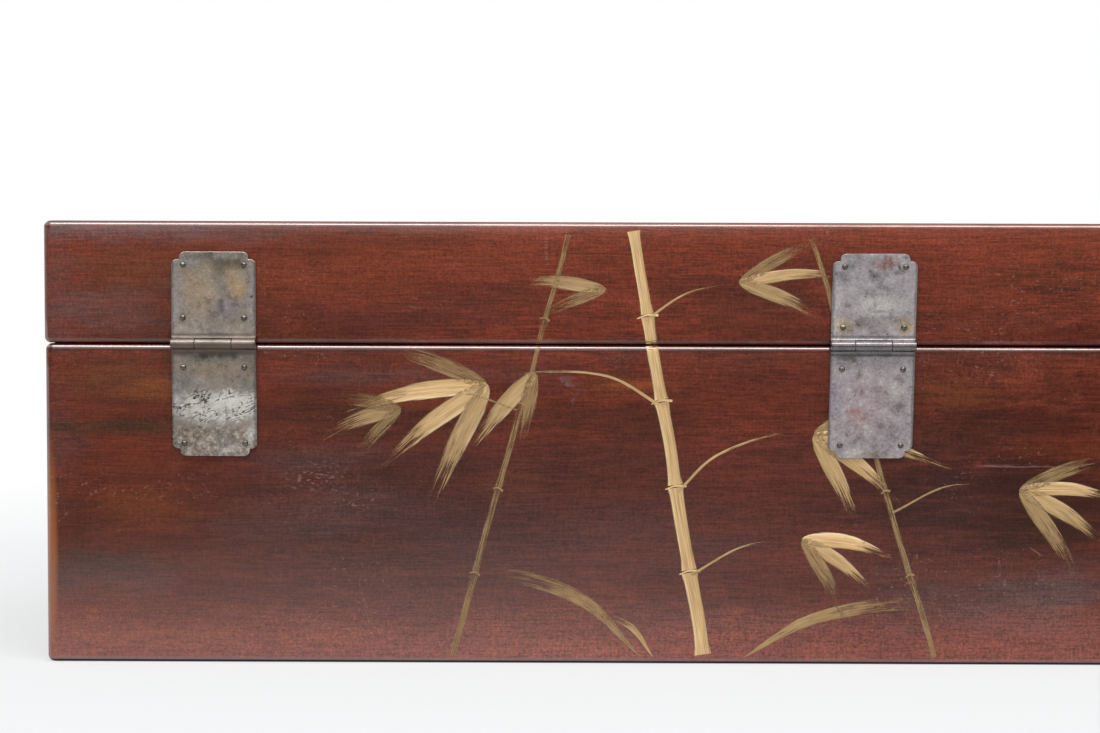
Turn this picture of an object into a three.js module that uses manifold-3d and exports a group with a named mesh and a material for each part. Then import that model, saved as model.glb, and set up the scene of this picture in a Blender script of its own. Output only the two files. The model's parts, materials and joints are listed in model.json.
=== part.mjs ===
// A long lacquered leather box: a finger-jointed wooden carcass under turned leather, lined with paper,
// with a hinged lid on three three-knuckle hinges, a swinging hasp and a drop handle at each end.
// Millimetres, +Z up. X runs along the box, the hinged back faces -Y and z = 0 is the underside.

import * as THREE from "three";
import { mergeVertices } from "three/addons/utils/BufferGeometryUtils.js";
import Module from "manifold-3d";

const wasm = await Module();
wasm.setup();

// Whole box
const boxLength = 914;
const boxDepth = 380;
const baseHeight = 177;
const lidHeight = 67.5;
const seamGap = 0.5;
const lidOverhang = 0.6; // how far the lid's ends stand past the base's

// Clearances
const seatGap = 0.2; // between pieces that are glued, nailed or resting on each other
const runningGap = 0.3; // round a pin, and between knuckles
const cutOverrun = 5; // how far a cutter reaches past what it cuts

// Carcass boards
const wallThickness = 10;
const bottomThickness = 8;
const lidTopThickness = 7;
const baseFingerCount = 7;
const lidFingerCount = 3;

// Leather covering
const leatherThickness = 2;
const lapThickness = 1; // skived where it is turned inside the rim
const lapDepth = 14;
const underLap = 14; // turned under the base, round the bottom sheet
const cornerRadius = 5.5; // upright corners
const edgeRadius = 3.5; // round the top and the bottom
const rimRadius = 3; // at the seam
const rimInnerRadius = 0.6;
const leastRadius = 0.8;
const cornerSteps = 4;
const edgeSteps = 4;
const rimSteps = 3;

// Paper lining and the wooden lip that locates the lid
const liningThickness = 0.8;
const lipThickness = 5;
const lipBelowRim = 22;
const lipAboveRim = 8;
const lipRelief = 1; // taken off the lip's outer face above the rim
const lipRadius = 1.2;

// Hinge leaves, knuckles, pins and nails
const leafWidth = 46.6;
const upperLeafReach = 50.6; // from the hinge axis to the leaf's end
const lowerLeafReach = 62;
const sheetThickness = 1.1;
const pinRadius = 1.4;
const middleKnuckleWidth = 20.3;
const bendRadius = 2.6;
const eyeSweep = Math.PI * (5 / 3);
const notchWidth = 4.2;
const notchDepth = 4.1;
const outerEarRadius = 3.3;
const endCornerRadius = 3.2;
const nailFromSide = 6.5;
const nailFromEnd = 7.1;
const upperNailFromAxis = 14.4;
const centreUpperNailFromAxis = 10.2; // this leaf was nailed closer to its knuckles than the others
const lowerNailFromAxis = 12.9;
const nailHeadRadius = 1.65;
const nailHeadHeight = 1.2;
const nailShankRadius = 0.7;
const nailLength = 11;
const nailPoint = 2;
const nailSides = 8;
const domeSteps = 2;
const pinSides = 12;
const bendSteps = 4;
const eyeSteps = 14;
const endHingeFromLidEnd = 94.5;
const centreHingeLean = 0.0215; // leaves nailed on out of square, as a share of their reach
const leftLowerLean = 0.01;

// Hasp on the front, and the two lugs that its eye hangs between
const haspLeafWidth = 34;
const haspLeafReach = 36;
const haspAxisAboveSeam = 12;
const haspKnuckleWidth = 14;
const haspNailFromAxis = 12;
const haspShoulderReach = 28; // from the hasp's pin to where its sides draw in
const haspEyeWidth = 10;
const lockAxisBelowSeam = 36;
const lockBoreRadius = 3.6;
const lockAxisFromWall = 7.4;
const lockBendRadius = 3;
const lockSideGap = 0.6;

// Eye pins: forged eyes whose flat tails are spread inside the wall
const eyeWidth = 4.4; // along the bore
const eyeRim = 3;
const eyeNeckHeight = 5;
const collarRadius = 7.5;
const collarThickness = 1.4;
const tailLength = 11;
const tailThickness = 1.5;
const eyeSides = 16;

// Drop handles
const handleSpan = 104; // between the two eye pins
const handleHeight = 116; // of the bail's axis above the underside
const bailDrop = 40;
const bailRadius = 3.1;
const bailAxisFromWall = 9.2;
const bailBoreRadius = 3.6;
const bailLegFromEye = 9;
const bailTipPastEye = 3;
const bailUpperBend = 6;
const bailLowerBend = 16;
const bailSides = 8;
const bailSteps = 48;

// Levels and faces that follow from the sizes above
const rimInset = leatherThickness + 2 * seatGap + wallThickness + lapThickness;
const carcassInset = leatherThickness + seatGap;
const carcassDepth = boxDepth - 2 * carcassInset;
const baseCarcassLength = boxLength - 2 * carcassInset;
const lidLength = boxLength + 2 * lidOverhang;
const lidCarcassLength = lidLength - 2 * carcassInset;
const baseFloor = carcassInset + bottomThickness;
const baseWallTop = baseHeight - carcassInset;
const lidRim = baseHeight + seamGap;
const lidTop = lidRim + lidHeight;
const lidWallBottom = lidRim + carcassInset;
const lidCeiling = lidTop - carcassInset - lidTopThickness;
const hingeAxisZ = baseHeight + seamGap / 2;
const knuckleBore = pinRadius + runningGap;
const eyeLine = knuckleBore + sheetThickness / 2; // centre of the rolled sheet
const slotReach = knuckleBore + sheetThickness + runningGap; // from the axis to a leaf's edge past a knuckle
const hingeAxisFromWall = seatGap + knuckleBore + sheetThickness;
const haspAxisZ = hingeAxisZ + haspAxisAboveSeam;
const lockAxisZ = hingeAxisZ - lockAxisBelowSeam;

const leatherLook = { color: 0x66352a, roughness: 0.42, metalness: 0 };
const woodLook = { color: 0x9a7448, roughness: 0.75, metalness: 0 };
const paperLook = { color: 0xc9b588, roughness: 0.9, metalness: 0 };
const metalLook = { color: 0x8c8480, roughness: 0.42, metalness: 0.85 };

// Solids

function toSolid(geometry) {
  const bare = new THREE.BufferGeometry();
  bare.setAttribute("position", geometry.getAttribute("position"));
  if (geometry.index) bare.setIndex(geometry.index);
  const merged = mergeVertices(bare);
  return new wasm.Manifold(
    new wasm.Mesh({
      numProp: 3,
      vertProperties: merged.attributes.position.array,
      triVerts: new Uint32Array(merged.index.array),
    }),
  );
}

function toGeometry(solid) {
  const mesh = solid.getMesh();
  const geometry = new THREE.BufferGeometry();
  const points = new Float32Array(mesh.vertProperties);
  geometry.setAttribute("position", new THREE.BufferAttribute(points, 3));
  geometry.setIndex(new THREE.BufferAttribute(new Uint32Array(mesh.triVerts), 1));
  geometry.computeVertexNormals();
  return geometry;
}

function cutAway(geometry, cutters) {
  let solid = toSolid(geometry);
  for (const cutter of cutters) solid = solid.subtract(toSolid(cutter));
  return toGeometry(solid);
}

function keepInside(geometry, envelope) {
  return toGeometry(toSolid(geometry).intersect(toSolid(envelope)));
}

function joinAll(geometries) {
  let solid = toSolid(geometries[0]);
  for (const geometry of geometries.slice(1)) solid = solid.add(toSolid(geometry));
  return toGeometry(solid);
}

function boxAt(sizeX, sizeY, sizeZ, x, y, z) {
  return new THREE.BoxGeometry(sizeX, sizeY, sizeZ).translate(x, y, z);
}

// A flat outline in (u, v), extruded to the given thickness and stood up by three axis directions.
function extrudeOn(shape, thickness, uAxis, vAxis, steps = eyeSides) {
  const geometry = new THREE.ExtrudeGeometry(shape, {
    depth: thickness,
    bevelEnabled: false,
    curveSegments: steps,
  });
  geometry.translate(0, 0, -thickness / 2);
  const normal = new THREE.Vector3().crossVectors(uAxis, vAxis);
  return geometry.applyMatrix4(new THREE.Matrix4().makeBasis(uAxis, vAxis, normal));
}

const axisX = new THREE.Vector3(1, 0, 0);
const axisY = new THREE.Vector3(0, 1, 0);
const axisZ = new THREE.Vector3(0, 0, 1);
const backwards = axisY.clone().negate();

function sub(parent, name, geometry, look) {
  const mesh = new THREE.Mesh(geometry, new THREE.MeshStandardMaterial(look));
  mesh.name = name;
  parent.add(mesh);
  return mesh;
}

// Rounded rectangles stacked along a profile of [inset, height] points

function ringPoints(halfX, halfY, radius) {
  const points = [];
  for (let corner = 0; corner < 4; corner++) {
    const start = (corner * Math.PI) / 2;
    const signX = corner === 0 || corner === 3 ? 1 : -1;
    const signY = corner < 2 ? 1 : -1;
    for (let step = 0; step <= cornerSteps; step++) {
      const angle = start + (step / cornerSteps) * (Math.PI / 2);
      points.push([
        signX * (halfX - radius) + radius * Math.cos(angle),
        signY * (halfY - radius) + radius * Math.sin(angle),
      ]);
    }
  }
  return points;
}

// closed: the profile returns to its start. Otherwise its first ring is capped facing down, its last facing up.
function stackRings(length, depth, profile, closed) {
  const rings = profile.map(([inset, z]) => {
    const radius = Math.max(cornerRadius - inset, leastRadius);
    return ringPoints(length / 2 - inset, depth / 2 - inset, radius).map(([x, y]) => [x, y, z]);
  });
  const count = rings[0].length;
  const positions = rings.flat(2);
  const faces = [];
  const spans = closed ? rings.length : rings.length - 1;
  for (let ring = 0; ring < spans; ring++) {
    const here = ring * count;
    const next = ((ring + 1) % rings.length) * count;
    for (let i = 0; i < count; i++) {
      const j = (i + 1) % count;
      faces.push(here + i, here + j, next + j, here + i, next + j, next + i);
    }
  }
  if (!closed) {
    const last = (rings.length - 1) * count;
    for (let i = 1; i < count - 1; i++) {
      faces.push(0, i + 1, i);
      faces.push(last, last + i, last + i + 1);
    }
  }
  const geometry = new THREE.BufferGeometry();
  geometry.setAttribute("position", new THREE.Float32BufferAttribute(positions, 3));
  geometry.setIndex(faces);
  return geometry;
}

// Points on an arc of the profile, from one angle to another, ends included.
function profileArc(inset, z, radius, from, to, steps) {
  return Array.from({ length: steps + 1 }, (_, step) => {
    const angle = from + (step / steps) * (to - from);
    return [inset + radius * Math.cos(angle), z + radius * Math.sin(angle)];
  });
}

const down = -Math.PI / 2;
const up = Math.PI / 2;
const outward = Math.PI;

// Leather: an outer face, a turned rim and a skived lap inside it
function baseWallLeatherGeometry() {
  const inner = Math.max(edgeRadius - leatherThickness, leastRadius);
  const profile = [
    [underLap, 0],
    ...profileArc(edgeRadius, edgeRadius, edgeRadius, -up, -outward, edgeSteps),
    ...profileArc(rimRadius, baseHeight - rimRadius, rimRadius, outward, up, rimSteps),
    ...profileArc(rimInset - rimInnerRadius, baseHeight - rimInnerRadius, rimInnerRadius, up, 0, rimSteps),
    [rimInset, baseHeight - lapDepth],
    [rimInset - lapThickness, baseHeight - lapDepth],
    [rimInset - lapThickness, baseHeight - leatherThickness],
    [leatherThickness, baseHeight - leatherThickness],
    ...profileArc(leatherThickness + inner, leatherThickness + inner, inner, -outward, -up, edgeSteps),
    [underLap, leatherThickness],
  ];
  return stackRings(boxLength, boxDepth, profile, true);
}

function lidLeatherGeometry() {
  const inner = Math.max(edgeRadius - leatherThickness, leastRadius);
  const profile = [
    ...profileArc(leatherThickness + inner, lidTop - leatherThickness - inner, inner, up, outward, edgeSteps),
    [leatherThickness, lidRim + leatherThickness],
    [rimInset - lapThickness, lidRim + leatherThickness],
    [rimInset - lapThickness, lidRim + lapDepth],
    [rimInset, lidRim + lapDepth],
    ...profileArc(rimInset - rimInnerRadius, lidRim + rimInnerRadius, rimInnerRadius, 0, down, rimSteps),
    ...profileArc(rimRadius, lidRim + rimRadius, rimRadius, -up, -outward, rimSteps),
    ...profileArc(edgeRadius, lidTop - edgeRadius, edgeRadius, outward, up, edgeSteps),
  ];
  return stackRings(lidLength, boxDepth, profile, false);
}

function bottomLeatherGeometry() {
  const inset = underLap + seatGap;
  return stackRings(boxLength, boxDepth, [[inset, 0], [inset, leatherThickness]], false);
}

// Linings: an open paper tray in the base and another in the lid
function baseLiningGeometry() {
  const outer = carcassInset + wallThickness + seatGap;
  const inner = outer + liningThickness;
  const floor = baseFloor + seatGap;
  const top = baseHeight - lapDepth - seatGap;
  const profile = [[outer, floor], [outer, top], [inner, top], [inner, floor + liningThickness]];
  return stackRings(boxLength, boxDepth, profile, false);
}

function lidLiningGeometry() {
  const outer = carcassInset + wallThickness + seatGap;
  const inner = outer + liningThickness;
  const ceiling = lidCeiling - seatGap;
  const bottom = lidRim + lapDepth + seatGap;
  const profile = [[inner, ceiling - liningThickness], [inner, bottom], [outer, bottom], [outer, ceiling]];
  return stackRings(lidLength, boxDepth, profile, false);
}

function lipFrameGeometry() {
  const outer = rimInset + seatGap;
  const inner = outer + lipThickness;
  const relieved = outer + lipRelief;
  const top = baseHeight + lipAboveRim;
  const profile = [
    [outer, baseHeight - lipBelowRim],
    [outer, baseHeight],
    [relieved, baseHeight],
    ...profileArc(relieved + lipRadius, top - lipRadius, lipRadius, outward, up, rimSteps),
    ...profileArc(inner - lipRadius, top - lipRadius, lipRadius, up, 0, rimSteps),
    [inner, baseHeight - lipBelowRim],
  ];
  return stackRings(boxLength, boxDepth, profile, true);
}

// Carcass boards, finger-jointed at the upright corners and planed round to take the leather

function carcassEnvelope(length, low, high, roundLow, roundHigh) {
  const arris = Math.max(edgeRadius - carcassInset, leastRadius);
  const inset = carcassInset;
  const lowArc = profileArc(inset + arris, low + arris, arris, -up, -outward, rimSteps);
  const highArc = profileArc(inset + arris, high - arris, arris, outward, up, rimSteps);
  const lowEdge = roundLow ? lowArc : [[inset, low]];
  const highEdge = roundHigh ? highArc : [[inset, high]];
  return stackRings(length, boxDepth, [...lowEdge, ...highEdge], false);
}

// The outline of a board whose ends are cut into fingers; the mating board starts with a gap.
function fingerOutline(length, low, high, count, startsWithFinger) {
  const pitch = (high - low) / count;
  const long = length / 2;
  const short = length / 2 - wallThickness - seatGap;
  const side = [];
  for (let row = 0; row < count; row++) {
    const isFinger = (row % 2 === 0) === startsWithFinger;
    const slack = isFinger ? seatGap / 2 : -seatGap / 2;
    const reach = isFinger ? long : short;
    side.push([reach, row === 0 ? low : low + row * pitch + slack]);
    side.push([reach, row === count - 1 ? high : low + (row + 1) * pitch - slack]);
  }
  const points = [...side, ...side.map(([reach, z]) => [-reach, z]).reverse()];
  return new THREE.Shape(points.map(([reach, z]) => new THREE.Vector2(reach, z)));
}

function longWallGeometry(length, low, high, count, side, envelope) {
  const outline = fingerOutline(length, low, high, count, true);
  const board = extrudeOn(outline, wallThickness, axisX, axisZ);
  return keepInside(board.translate(0, side * (carcassDepth - wallThickness) / 2, 0), envelope);
}

function endWallGeometry(length, low, high, count, side, envelope) {
  const outline = fingerOutline(carcassDepth, low, high, count, false);
  const board = extrudeOn(outline, wallThickness, axisY, axisZ);
  return keepInside(board.translate(side * (length - wallThickness) / 2, 0, 0), envelope);
}

// Sheet metal: a centreline of points with the normal of the sheet's front face, thickened both ways.
// u is the distance from the wall and w the height above the eye's axis.

function rolledEnd(plateU, axisU, lineRadius, bend, sweep) {
  const offset = axisU - plateU - bend;
  const bendW = Math.sqrt((bend + lineRadius) ** 2 - offset ** 2);
  const bendCentre = new THREE.Vector2(plateU + bend, bendW);
  const eyeCentre = new THREE.Vector2(axisU, 0);
  const meeting = Math.atan2(-bendW, offset) + 2 * Math.PI;
  const samples = [];
  for (let step = 0; step <= bendSteps; step++) {
    const angle = Math.PI + (step / bendSteps) * (meeting - Math.PI);
    const spoke = new THREE.Vector2(Math.cos(angle), Math.sin(angle));
    samples.push({ point: bendCentre.clone().addScaledVector(spoke, bend), normal: spoke.clone().negate() });
  }
  for (let step = 1; step <= eyeSteps; step++) {
    const angle = meeting - Math.PI - (step / eyeSteps) * sweep;
    const spoke = new THREE.Vector2(Math.cos(angle), Math.sin(angle));
    samples.push({ point: eyeCentre.clone().addScaledVector(spoke, lineRadius), normal: spoke });
  }
  return samples;
}

function sheetOutline(samples, thickness) {
  const offset = (sample, side) => sample.point.clone().addScaledVector(sample.normal, (side * thickness) / 2);
  const front = samples.map((sample) => offset(sample, 1));
  const back = samples.map((sample) => offset(sample, -1)).reverse();
  return new THREE.Shape([...front, ...back]);
}

// The corner of a leaf's end: a rounded end, a square nick and a rounded ear.
function leafOutline(width, reach, shoulder, lean) {
  const half = width / 2;
  const shape = new THREE.Shape();
  const at = (x, w) => [x + lean * Math.max(0, w - shoulder), w];
  const arc = (x, w, radius, from) =>
    Array.from({ length: edgeSteps + 1 }, (_, step) => {
      const angle = from + (step / edgeSteps) * up;
      return at(x + radius * Math.cos(angle), w + radius * Math.sin(angle));
    });
  const earX = half - outerEarRadius;
  const earW = reach - notchDepth - outerEarRadius;
  const endX = half - notchWidth - endCornerRadius;
  const endW = reach - endCornerRadius;
  const points = [
    [-half, -reach],
    [half, -reach],
    [half, shoulder],
    ...arc(earX, earW, outerEarRadius, 0),
    at(half - notchWidth, reach - notchDepth),
    ...arc(endX, endW, endCornerRadius, 0),
    ...arc(-endX, endW, endCornerRadius, up),
    at(notchWidth - half, reach - notchDepth),
    ...arc(-earX, earW, outerEarRadius, up),
    [-half, shoulder],
  ];
  shape.setFromPoints(points.map(([x, w]) => new THREE.Vector2(x, w)));
  return shape;
}

function nailSpots(width, reach, fromAxis, shoulder, lean) {
  const x = width / 2 - nailFromSide;
  const rows = [fromAxis, reach - nailFromEnd];
  return rows.flatMap((w) => [-x, x].map((side) => [side + lean * Math.max(0, w - shoulder), w]));
}

const plateU = seatGap + sheetThickness / 2;
const leafShoulder = 2 * Math.sqrt(eyeLine * bendRadius); // where the flat of a leaf ends

// A leaf above its axis, its front facing -Y: a rolled strip, trimmed to outline, with knuckles left or cut.
function leafGeometry(width, reach, middleWidth, keepsMiddle, lean, spots) {
  const eye = rolledEnd(plateU, hingeAxisFromWall, eyeLine, bendRadius, eyeSweep);
  const end = { point: new THREE.Vector2(plateU, reach), normal: new THREE.Vector2(1, 0) };
  const strip = extrudeOn(sheetOutline([end, ...eye], sheetThickness), 2 * width, backwards, axisZ);
  const outline = extrudeOn(leafOutline(width, reach, leafShoulder, lean), 2 * width, axisX, axisZ);
  const cutHeight = slotReach + cutOverrun;
  const cutZ = slotReach - cutHeight / 2;
  const cutters = spots.map(([x, w]) => nailHole(x, 0, w));
  if (keepsMiddle) {
    const cutWidth = (width - middleWidth + runningGap) / 2 + cutOverrun;
    const cutX = (middleWidth - runningGap) / 2 + cutWidth / 2;
    for (const side of [-1, 1]) cutters.push(boxAt(cutWidth, width, cutHeight, side * cutX, 0, cutZ));
  } else {
    cutters.push(boxAt(middleWidth + runningGap, width, cutHeight, 0, 0, cutZ));
  }
  return cutAway(keepInside(strip, outline), cutters);
}

function nailHole(x, y, z) {
  const radius = nailShankRadius + seatGap;
  return new THREE.CylinderGeometry(radius, radius, 2 * nailLength, nailSides).translate(x, y, z);
}

function pinGeometry(radius, length, sides) {
  return new THREE.CylinderGeometry(radius, radius, length, sides).rotateZ(Math.PI / 2);
}

// A round-headed nail driven towards +Y, its head resting at y = 0
function nailGeometry() {
  const curve = (nailHeadRadius ** 2 + nailHeadHeight ** 2) / (2 * nailHeadHeight);
  const spread = Math.asin(Math.min(1, nailHeadRadius / curve));
  const dome = Array.from({ length: domeSteps + 1 }, (_, step) => {
    const angle = spread * (1 - step / domeSteps);
    return [curve * Math.sin(angle), nailHeadHeight - curve + curve * Math.cos(angle)];
  });
  const profile = [[0, -nailLength], [nailShankRadius, nailPoint - nailLength], [nailShankRadius, 0], ...dome];
  profile[profile.length - 1][0] = 0;
  const points = profile.map(([r, h]) => new THREE.Vector2(r, h));
  return new THREE.LatheGeometry(points, nailSides).rotateX(Math.PI);
}

// A forged eye on the wall's outside, its bore along Y, its shank through the wall along -X
// and its two tails spread flat inside. The handles' eyes stand on a round collar.
function eyePinGeometry(axisFromWall, bore, hasCollar) {
  const through = rimInset - lapThickness + liningThickness + seatGap;
  const ring = new THREE.Shape().absarc(axisFromWall, 0, bore + eyeRim, 0, 2 * Math.PI);
  const neckEnd = axisFromWall - bore - eyeRim / 2;
  const neckLength = neckEnd + through + tailThickness;
  const parts = [
    extrudeOn(ring, eyeWidth, axisX, axisZ, eyeSides / 2),
    boxAt(neckLength, eyeWidth, eyeNeckHeight, neckEnd - neckLength / 2, 0, 0),
    boxAt(tailThickness, eyeWidth, 2 * tailLength, -through - tailThickness / 2, 0, 0),
  ];
  if (hasCollar) {
    const collar = new THREE.CylinderGeometry(collarRadius, collarRadius, collarThickness, eyeSides);
    parts.push(collar.rotateZ(Math.PI / 2).translate(seatGap + collarThickness / 2, 0, 0));
  }
  return cutAway(joinAll(parts), [
    new THREE.CylinderGeometry(bore, bore, 2 * collarRadius, eyeSides).translate(axisFromWall, 0, 0),
  ]);
}

function shankHole(x, y, z, alongX) {
  const across = eyeWidth + 2 * seatGap;
  const deep = 2 * (rimInset + cutOverrun);
  const tall = eyeNeckHeight + 2 * seatGap;
  return boxAt(alongX ? deep : across, alongX ? across : deep, tall, x, y, z);
}

// The hasp hangs from its pin: a middle knuckle, a strap drawn in to a narrow tongue, and an eye for a lock bar.
function haspGeometry() {
  const lockDrop = haspAxisZ - lockAxisZ;
  const lockLine = lockBoreRadius + sheetThickness / 2;
  const knuckle = rolledEnd(plateU, hingeAxisFromWall, eyeLine, bendRadius, eyeSweep).map(({ point, normal }) => ({
    point: new THREE.Vector2(point.x, -point.y),
    normal: new THREE.Vector2(normal.x, -normal.y),
  }));
  const eye = rolledEnd(plateU, lockAxisFromWall, lockLine, lockBendRadius, eyeSweep).map(({ point, normal }) => ({
    point: new THREE.Vector2(point.x, point.y - lockDrop),
    normal,
  }));
  const strip = sheetOutline([...knuckle.reverse(), ...eye], sheetThickness);
  const sheet = extrudeOn(strip, 2 * haspLeafWidth, axisY, axisZ);
  const half = haspLeafWidth / 2;
  const knuckleHalf = (haspKnuckleWidth - runningGap) / 2;
  const tongue = haspEyeWidth / 2;
  const below = -lockDrop - 2 * lockBoreRadius - cutOverrun;
  const outline = new THREE.Shape();
  outline.moveTo(-knuckleHalf, haspLeafReach);
  outline.lineTo(-knuckleHalf, -leafShoulder);
  outline.lineTo(-half, -leafShoulder);
  outline.lineTo(-half, -haspShoulderReach + notchDepth);
  outline.quadraticCurveTo(-half, -haspShoulderReach, -tongue, -haspShoulderReach);
  outline.lineTo(-tongue, below);
  outline.lineTo(tongue, below);
  outline.lineTo(tongue, -haspShoulderReach);
  outline.quadraticCurveTo(half, -haspShoulderReach, half, -haspShoulderReach + notchDepth);
  outline.lineTo(half, -leafShoulder);
  outline.lineTo(knuckleHalf, -leafShoulder);
  outline.lineTo(knuckleHalf, haspLeafReach);
  return keepInside(sheet, extrudeOn(outline, 2 * haspLeafWidth, axisX, axisZ, edgeSteps));
}

// A round rod bent into a bail in the YZ plane, its tips turned in along the axis y
function bailGeometry() {
  const legY = handleSpan / 2 + bailLegFromEye;
  const tipY = handleSpan / 2 - eyeWidth / 2 - bailTipPastEye;
  const path = new THREE.CurvePath();
  const corner = (y, z, radius, toY, toZ, fromY, fromZ) =>
    new THREE.QuadraticBezierCurve3(
      new THREE.Vector3(0, y + fromY * radius, z + fromZ * radius),
      new THREE.Vector3(0, y, z),
      new THREE.Vector3(0, y + toY * radius, z + toZ * radius),
    );
  const corners = [
    corner(-legY, 0, bailUpperBend, 0, -1, 1, 0),
    corner(-legY, -bailDrop, bailLowerBend, 1, 0, 0, 1),
    corner(legY, -bailDrop, bailLowerBend, 0, 1, -1, 0),
    corner(legY, 0, bailUpperBend, -1, 0, 0, -1),
  ];
  let from = new THREE.Vector3(0, -tipY, 0);
  for (const bend of corners) {
    path.add(new THREE.LineCurve3(from, bend.v0));
    path.add(bend);
    from = bend.v2;
  }
  path.add(new THREE.LineCurve3(from, new THREE.Vector3(0, tipY, 0)));
  const section = new THREE.Shape();
  for (let side = 0; side < bailSides; side++) {
    const angle = (side / bailSides) * 2 * Math.PI;
    const method = side === 0 ? "moveTo" : "lineTo";
    section[method](bailRadius * Math.cos(angle), bailRadius * Math.sin(angle));
  }
  return new THREE.ExtrudeGeometry(section, { steps: bailSteps, extrudePath: path });
}

// Where everything is fixed

const endHingeX = lidLength / 2 - endHingeFromLidEnd;
const hinges = [
  { name: "hinge_left", x: -endHingeX, upperRow: upperNailFromAxis, upperLean: 0, lowerLean: leftLowerLean },
  {
    name: "hinge_centre",
    x: 0,
    upperRow: centreUpperNailFromAxis,
    upperLean: centreHingeLean,
    lowerLean: -centreHingeLean,
  },
  { name: "hinge_right", x: endHingeX, upperRow: upperNailFromAxis, upperLean: 0, lowerLean: 0 },
];
const upperSpots = (hinge) =>
  nailSpots(leafWidth, upperLeafReach, hinge.upperRow, leafShoulder, hinge.upperLean);
const lowerSpots = (hinge) =>
  nailSpots(leafWidth, lowerLeafReach, lowerNailFromAxis, leafShoulder, -hinge.lowerLean);
const backFace = -boxDepth / 2;
const frontFace = boxDepth / 2;
const lidNailHoles = hinges.flatMap((hinge) =>
  upperSpots(hinge).map(([x, w]) => nailHole(hinge.x + x, backFace, hingeAxisZ + w)),
);
const baseNailHoles = hinges.flatMap((hinge) =>
  lowerSpots(hinge).map(([x, w]) => nailHole(hinge.x - x, backFace, hingeAxisZ - w)),
);
const haspSpots = nailSpots(haspLeafWidth, haspLeafReach, haspNailFromAxis, leafShoulder, 0);
const haspNailHoles = haspSpots.map(([x, w]) => nailHole(x, frontFace, haspAxisZ + w));
const lugX = (haspEyeWidth + eyeWidth) / 2 + lockSideGap;
const lugHoles = [-lugX, lugX].map((x) => shankHole(x, frontFace, lockAxisZ, false));
const handleEyeY = handleSpan / 2;
const endHoles = (side) =>
  [-handleEyeY, handleEyeY].map((y) => shankHole((side * boxLength) / 2, y, handleHeight, true));

// Base
const box = new THREE.Group();
const base = new THREE.Group();
box.add(base);

const baseEnvelope = carcassEnvelope(boxLength, carcassInset, baseWallTop, true, false);
const baseWallLow = baseFloor + seatGap;
const bottomBoard = boxAt(
  baseCarcassLength,
  carcassDepth,
  bottomThickness,
  0,
  0,
  carcassInset + bottomThickness / 2,
);
const baseWalls = [baseWallLow, baseWallTop, baseFingerCount];
const baseBack = longWallGeometry(baseCarcassLength, ...baseWalls, -1, baseEnvelope);
const baseFront = longWallGeometry(baseCarcassLength, ...baseWalls, 1, baseEnvelope);
const baseLeft = endWallGeometry(baseCarcassLength, ...baseWalls, -1, baseEnvelope);
const baseRight = endWallGeometry(baseCarcassLength, ...baseWalls, 1, baseEnvelope);
sub(base, "base_bottom_board", keepInside(bottomBoard, baseEnvelope), woodLook);
sub(base, "base_back_board", cutAway(baseBack, baseNailHoles), woodLook);
sub(base, "base_front_board", cutAway(baseFront, lugHoles), woodLook);
sub(base, "base_left_board", cutAway(baseLeft, endHoles(-1)), woodLook);
sub(base, "base_right_board", cutAway(baseRight, endHoles(1)), woodLook);
const allBaseHoles = [...baseNailHoles, ...lugHoles, ...endHoles(-1), ...endHoles(1)];
const allShankHoles = [...lugHoles, ...endHoles(-1), ...endHoles(1)];
sub(base, "base_wall_leather", cutAway(baseWallLeatherGeometry(), allBaseHoles), leatherLook);
sub(base, "base_bottom_leather", bottomLeatherGeometry(), leatherLook);
sub(base, "base_lining", cutAway(baseLiningGeometry(), allShankHoles), paperLook);
sub(base, "base_lip_frame", lipFrameGeometry(), woodLook);

// Lid
const lid = new THREE.Group();
box.add(lid);

const lidEnvelope = carcassEnvelope(lidLength, lidWallBottom, lidTop - carcassInset, false, true);
const topBoard = boxAt(
  lidCarcassLength,
  carcassDepth,
  lidTopThickness,
  0,
  0,
  lidCeiling + lidTopThickness / 2,
);
const lidWalls = [lidWallBottom, lidCeiling - seatGap, lidFingerCount];
const lidBack = longWallGeometry(lidCarcassLength, ...lidWalls, -1, lidEnvelope);
const lidFront = longWallGeometry(lidCarcassLength, ...lidWalls, 1, lidEnvelope);
sub(lid, "lid_top_board", keepInside(topBoard, lidEnvelope), woodLook);
sub(lid, "lid_back_board", cutAway(lidBack, lidNailHoles), woodLook);
sub(lid, "lid_front_board", cutAway(lidFront, haspNailHoles), woodLook);
sub(lid, "lid_left_board", endWallGeometry(lidCarcassLength, ...lidWalls, -1, lidEnvelope), woodLook);
sub(lid, "lid_right_board", endWallGeometry(lidCarcassLength, ...lidWalls, 1, lidEnvelope), woodLook);
sub(lid, "lid_leather", cutAway(lidLeatherGeometry(), [...lidNailHoles, ...haspNailHoles]), leatherLook);
sub(lid, "lid_lining", lidLiningGeometry(), paperLook);

// Hinges: each leaf and its nails stand in one group on the hinge axis, the lower one turned upside down
function addLeaf(parent, name, hinge, isUpper) {
  const group = new THREE.Group();
  group.position.set(hinge.x, backFace, hingeAxisZ);
  if (!isUpper) group.rotation.y = Math.PI;
  parent.add(group);
  const reach = isUpper ? upperLeafReach : lowerLeafReach;
  const lean = isUpper ? hinge.upperLean : -hinge.lowerLean;
  const spots = isUpper ? upperSpots(hinge) : lowerSpots(hinge);
  const leaf = leafGeometry(leafWidth, reach, middleKnuckleWidth, !isUpper, lean, spots);
  sub(group, `${name}_leaf`, leaf, metalLook);
  spots.forEach(([x, w], i) => {
    const nail = sub(group, `${name}_nail_${i + 1}`, nailGeometry(), metalLook);
    nail.position.set(x, -(2 * seatGap + sheetThickness), w);
  });
}

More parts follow.
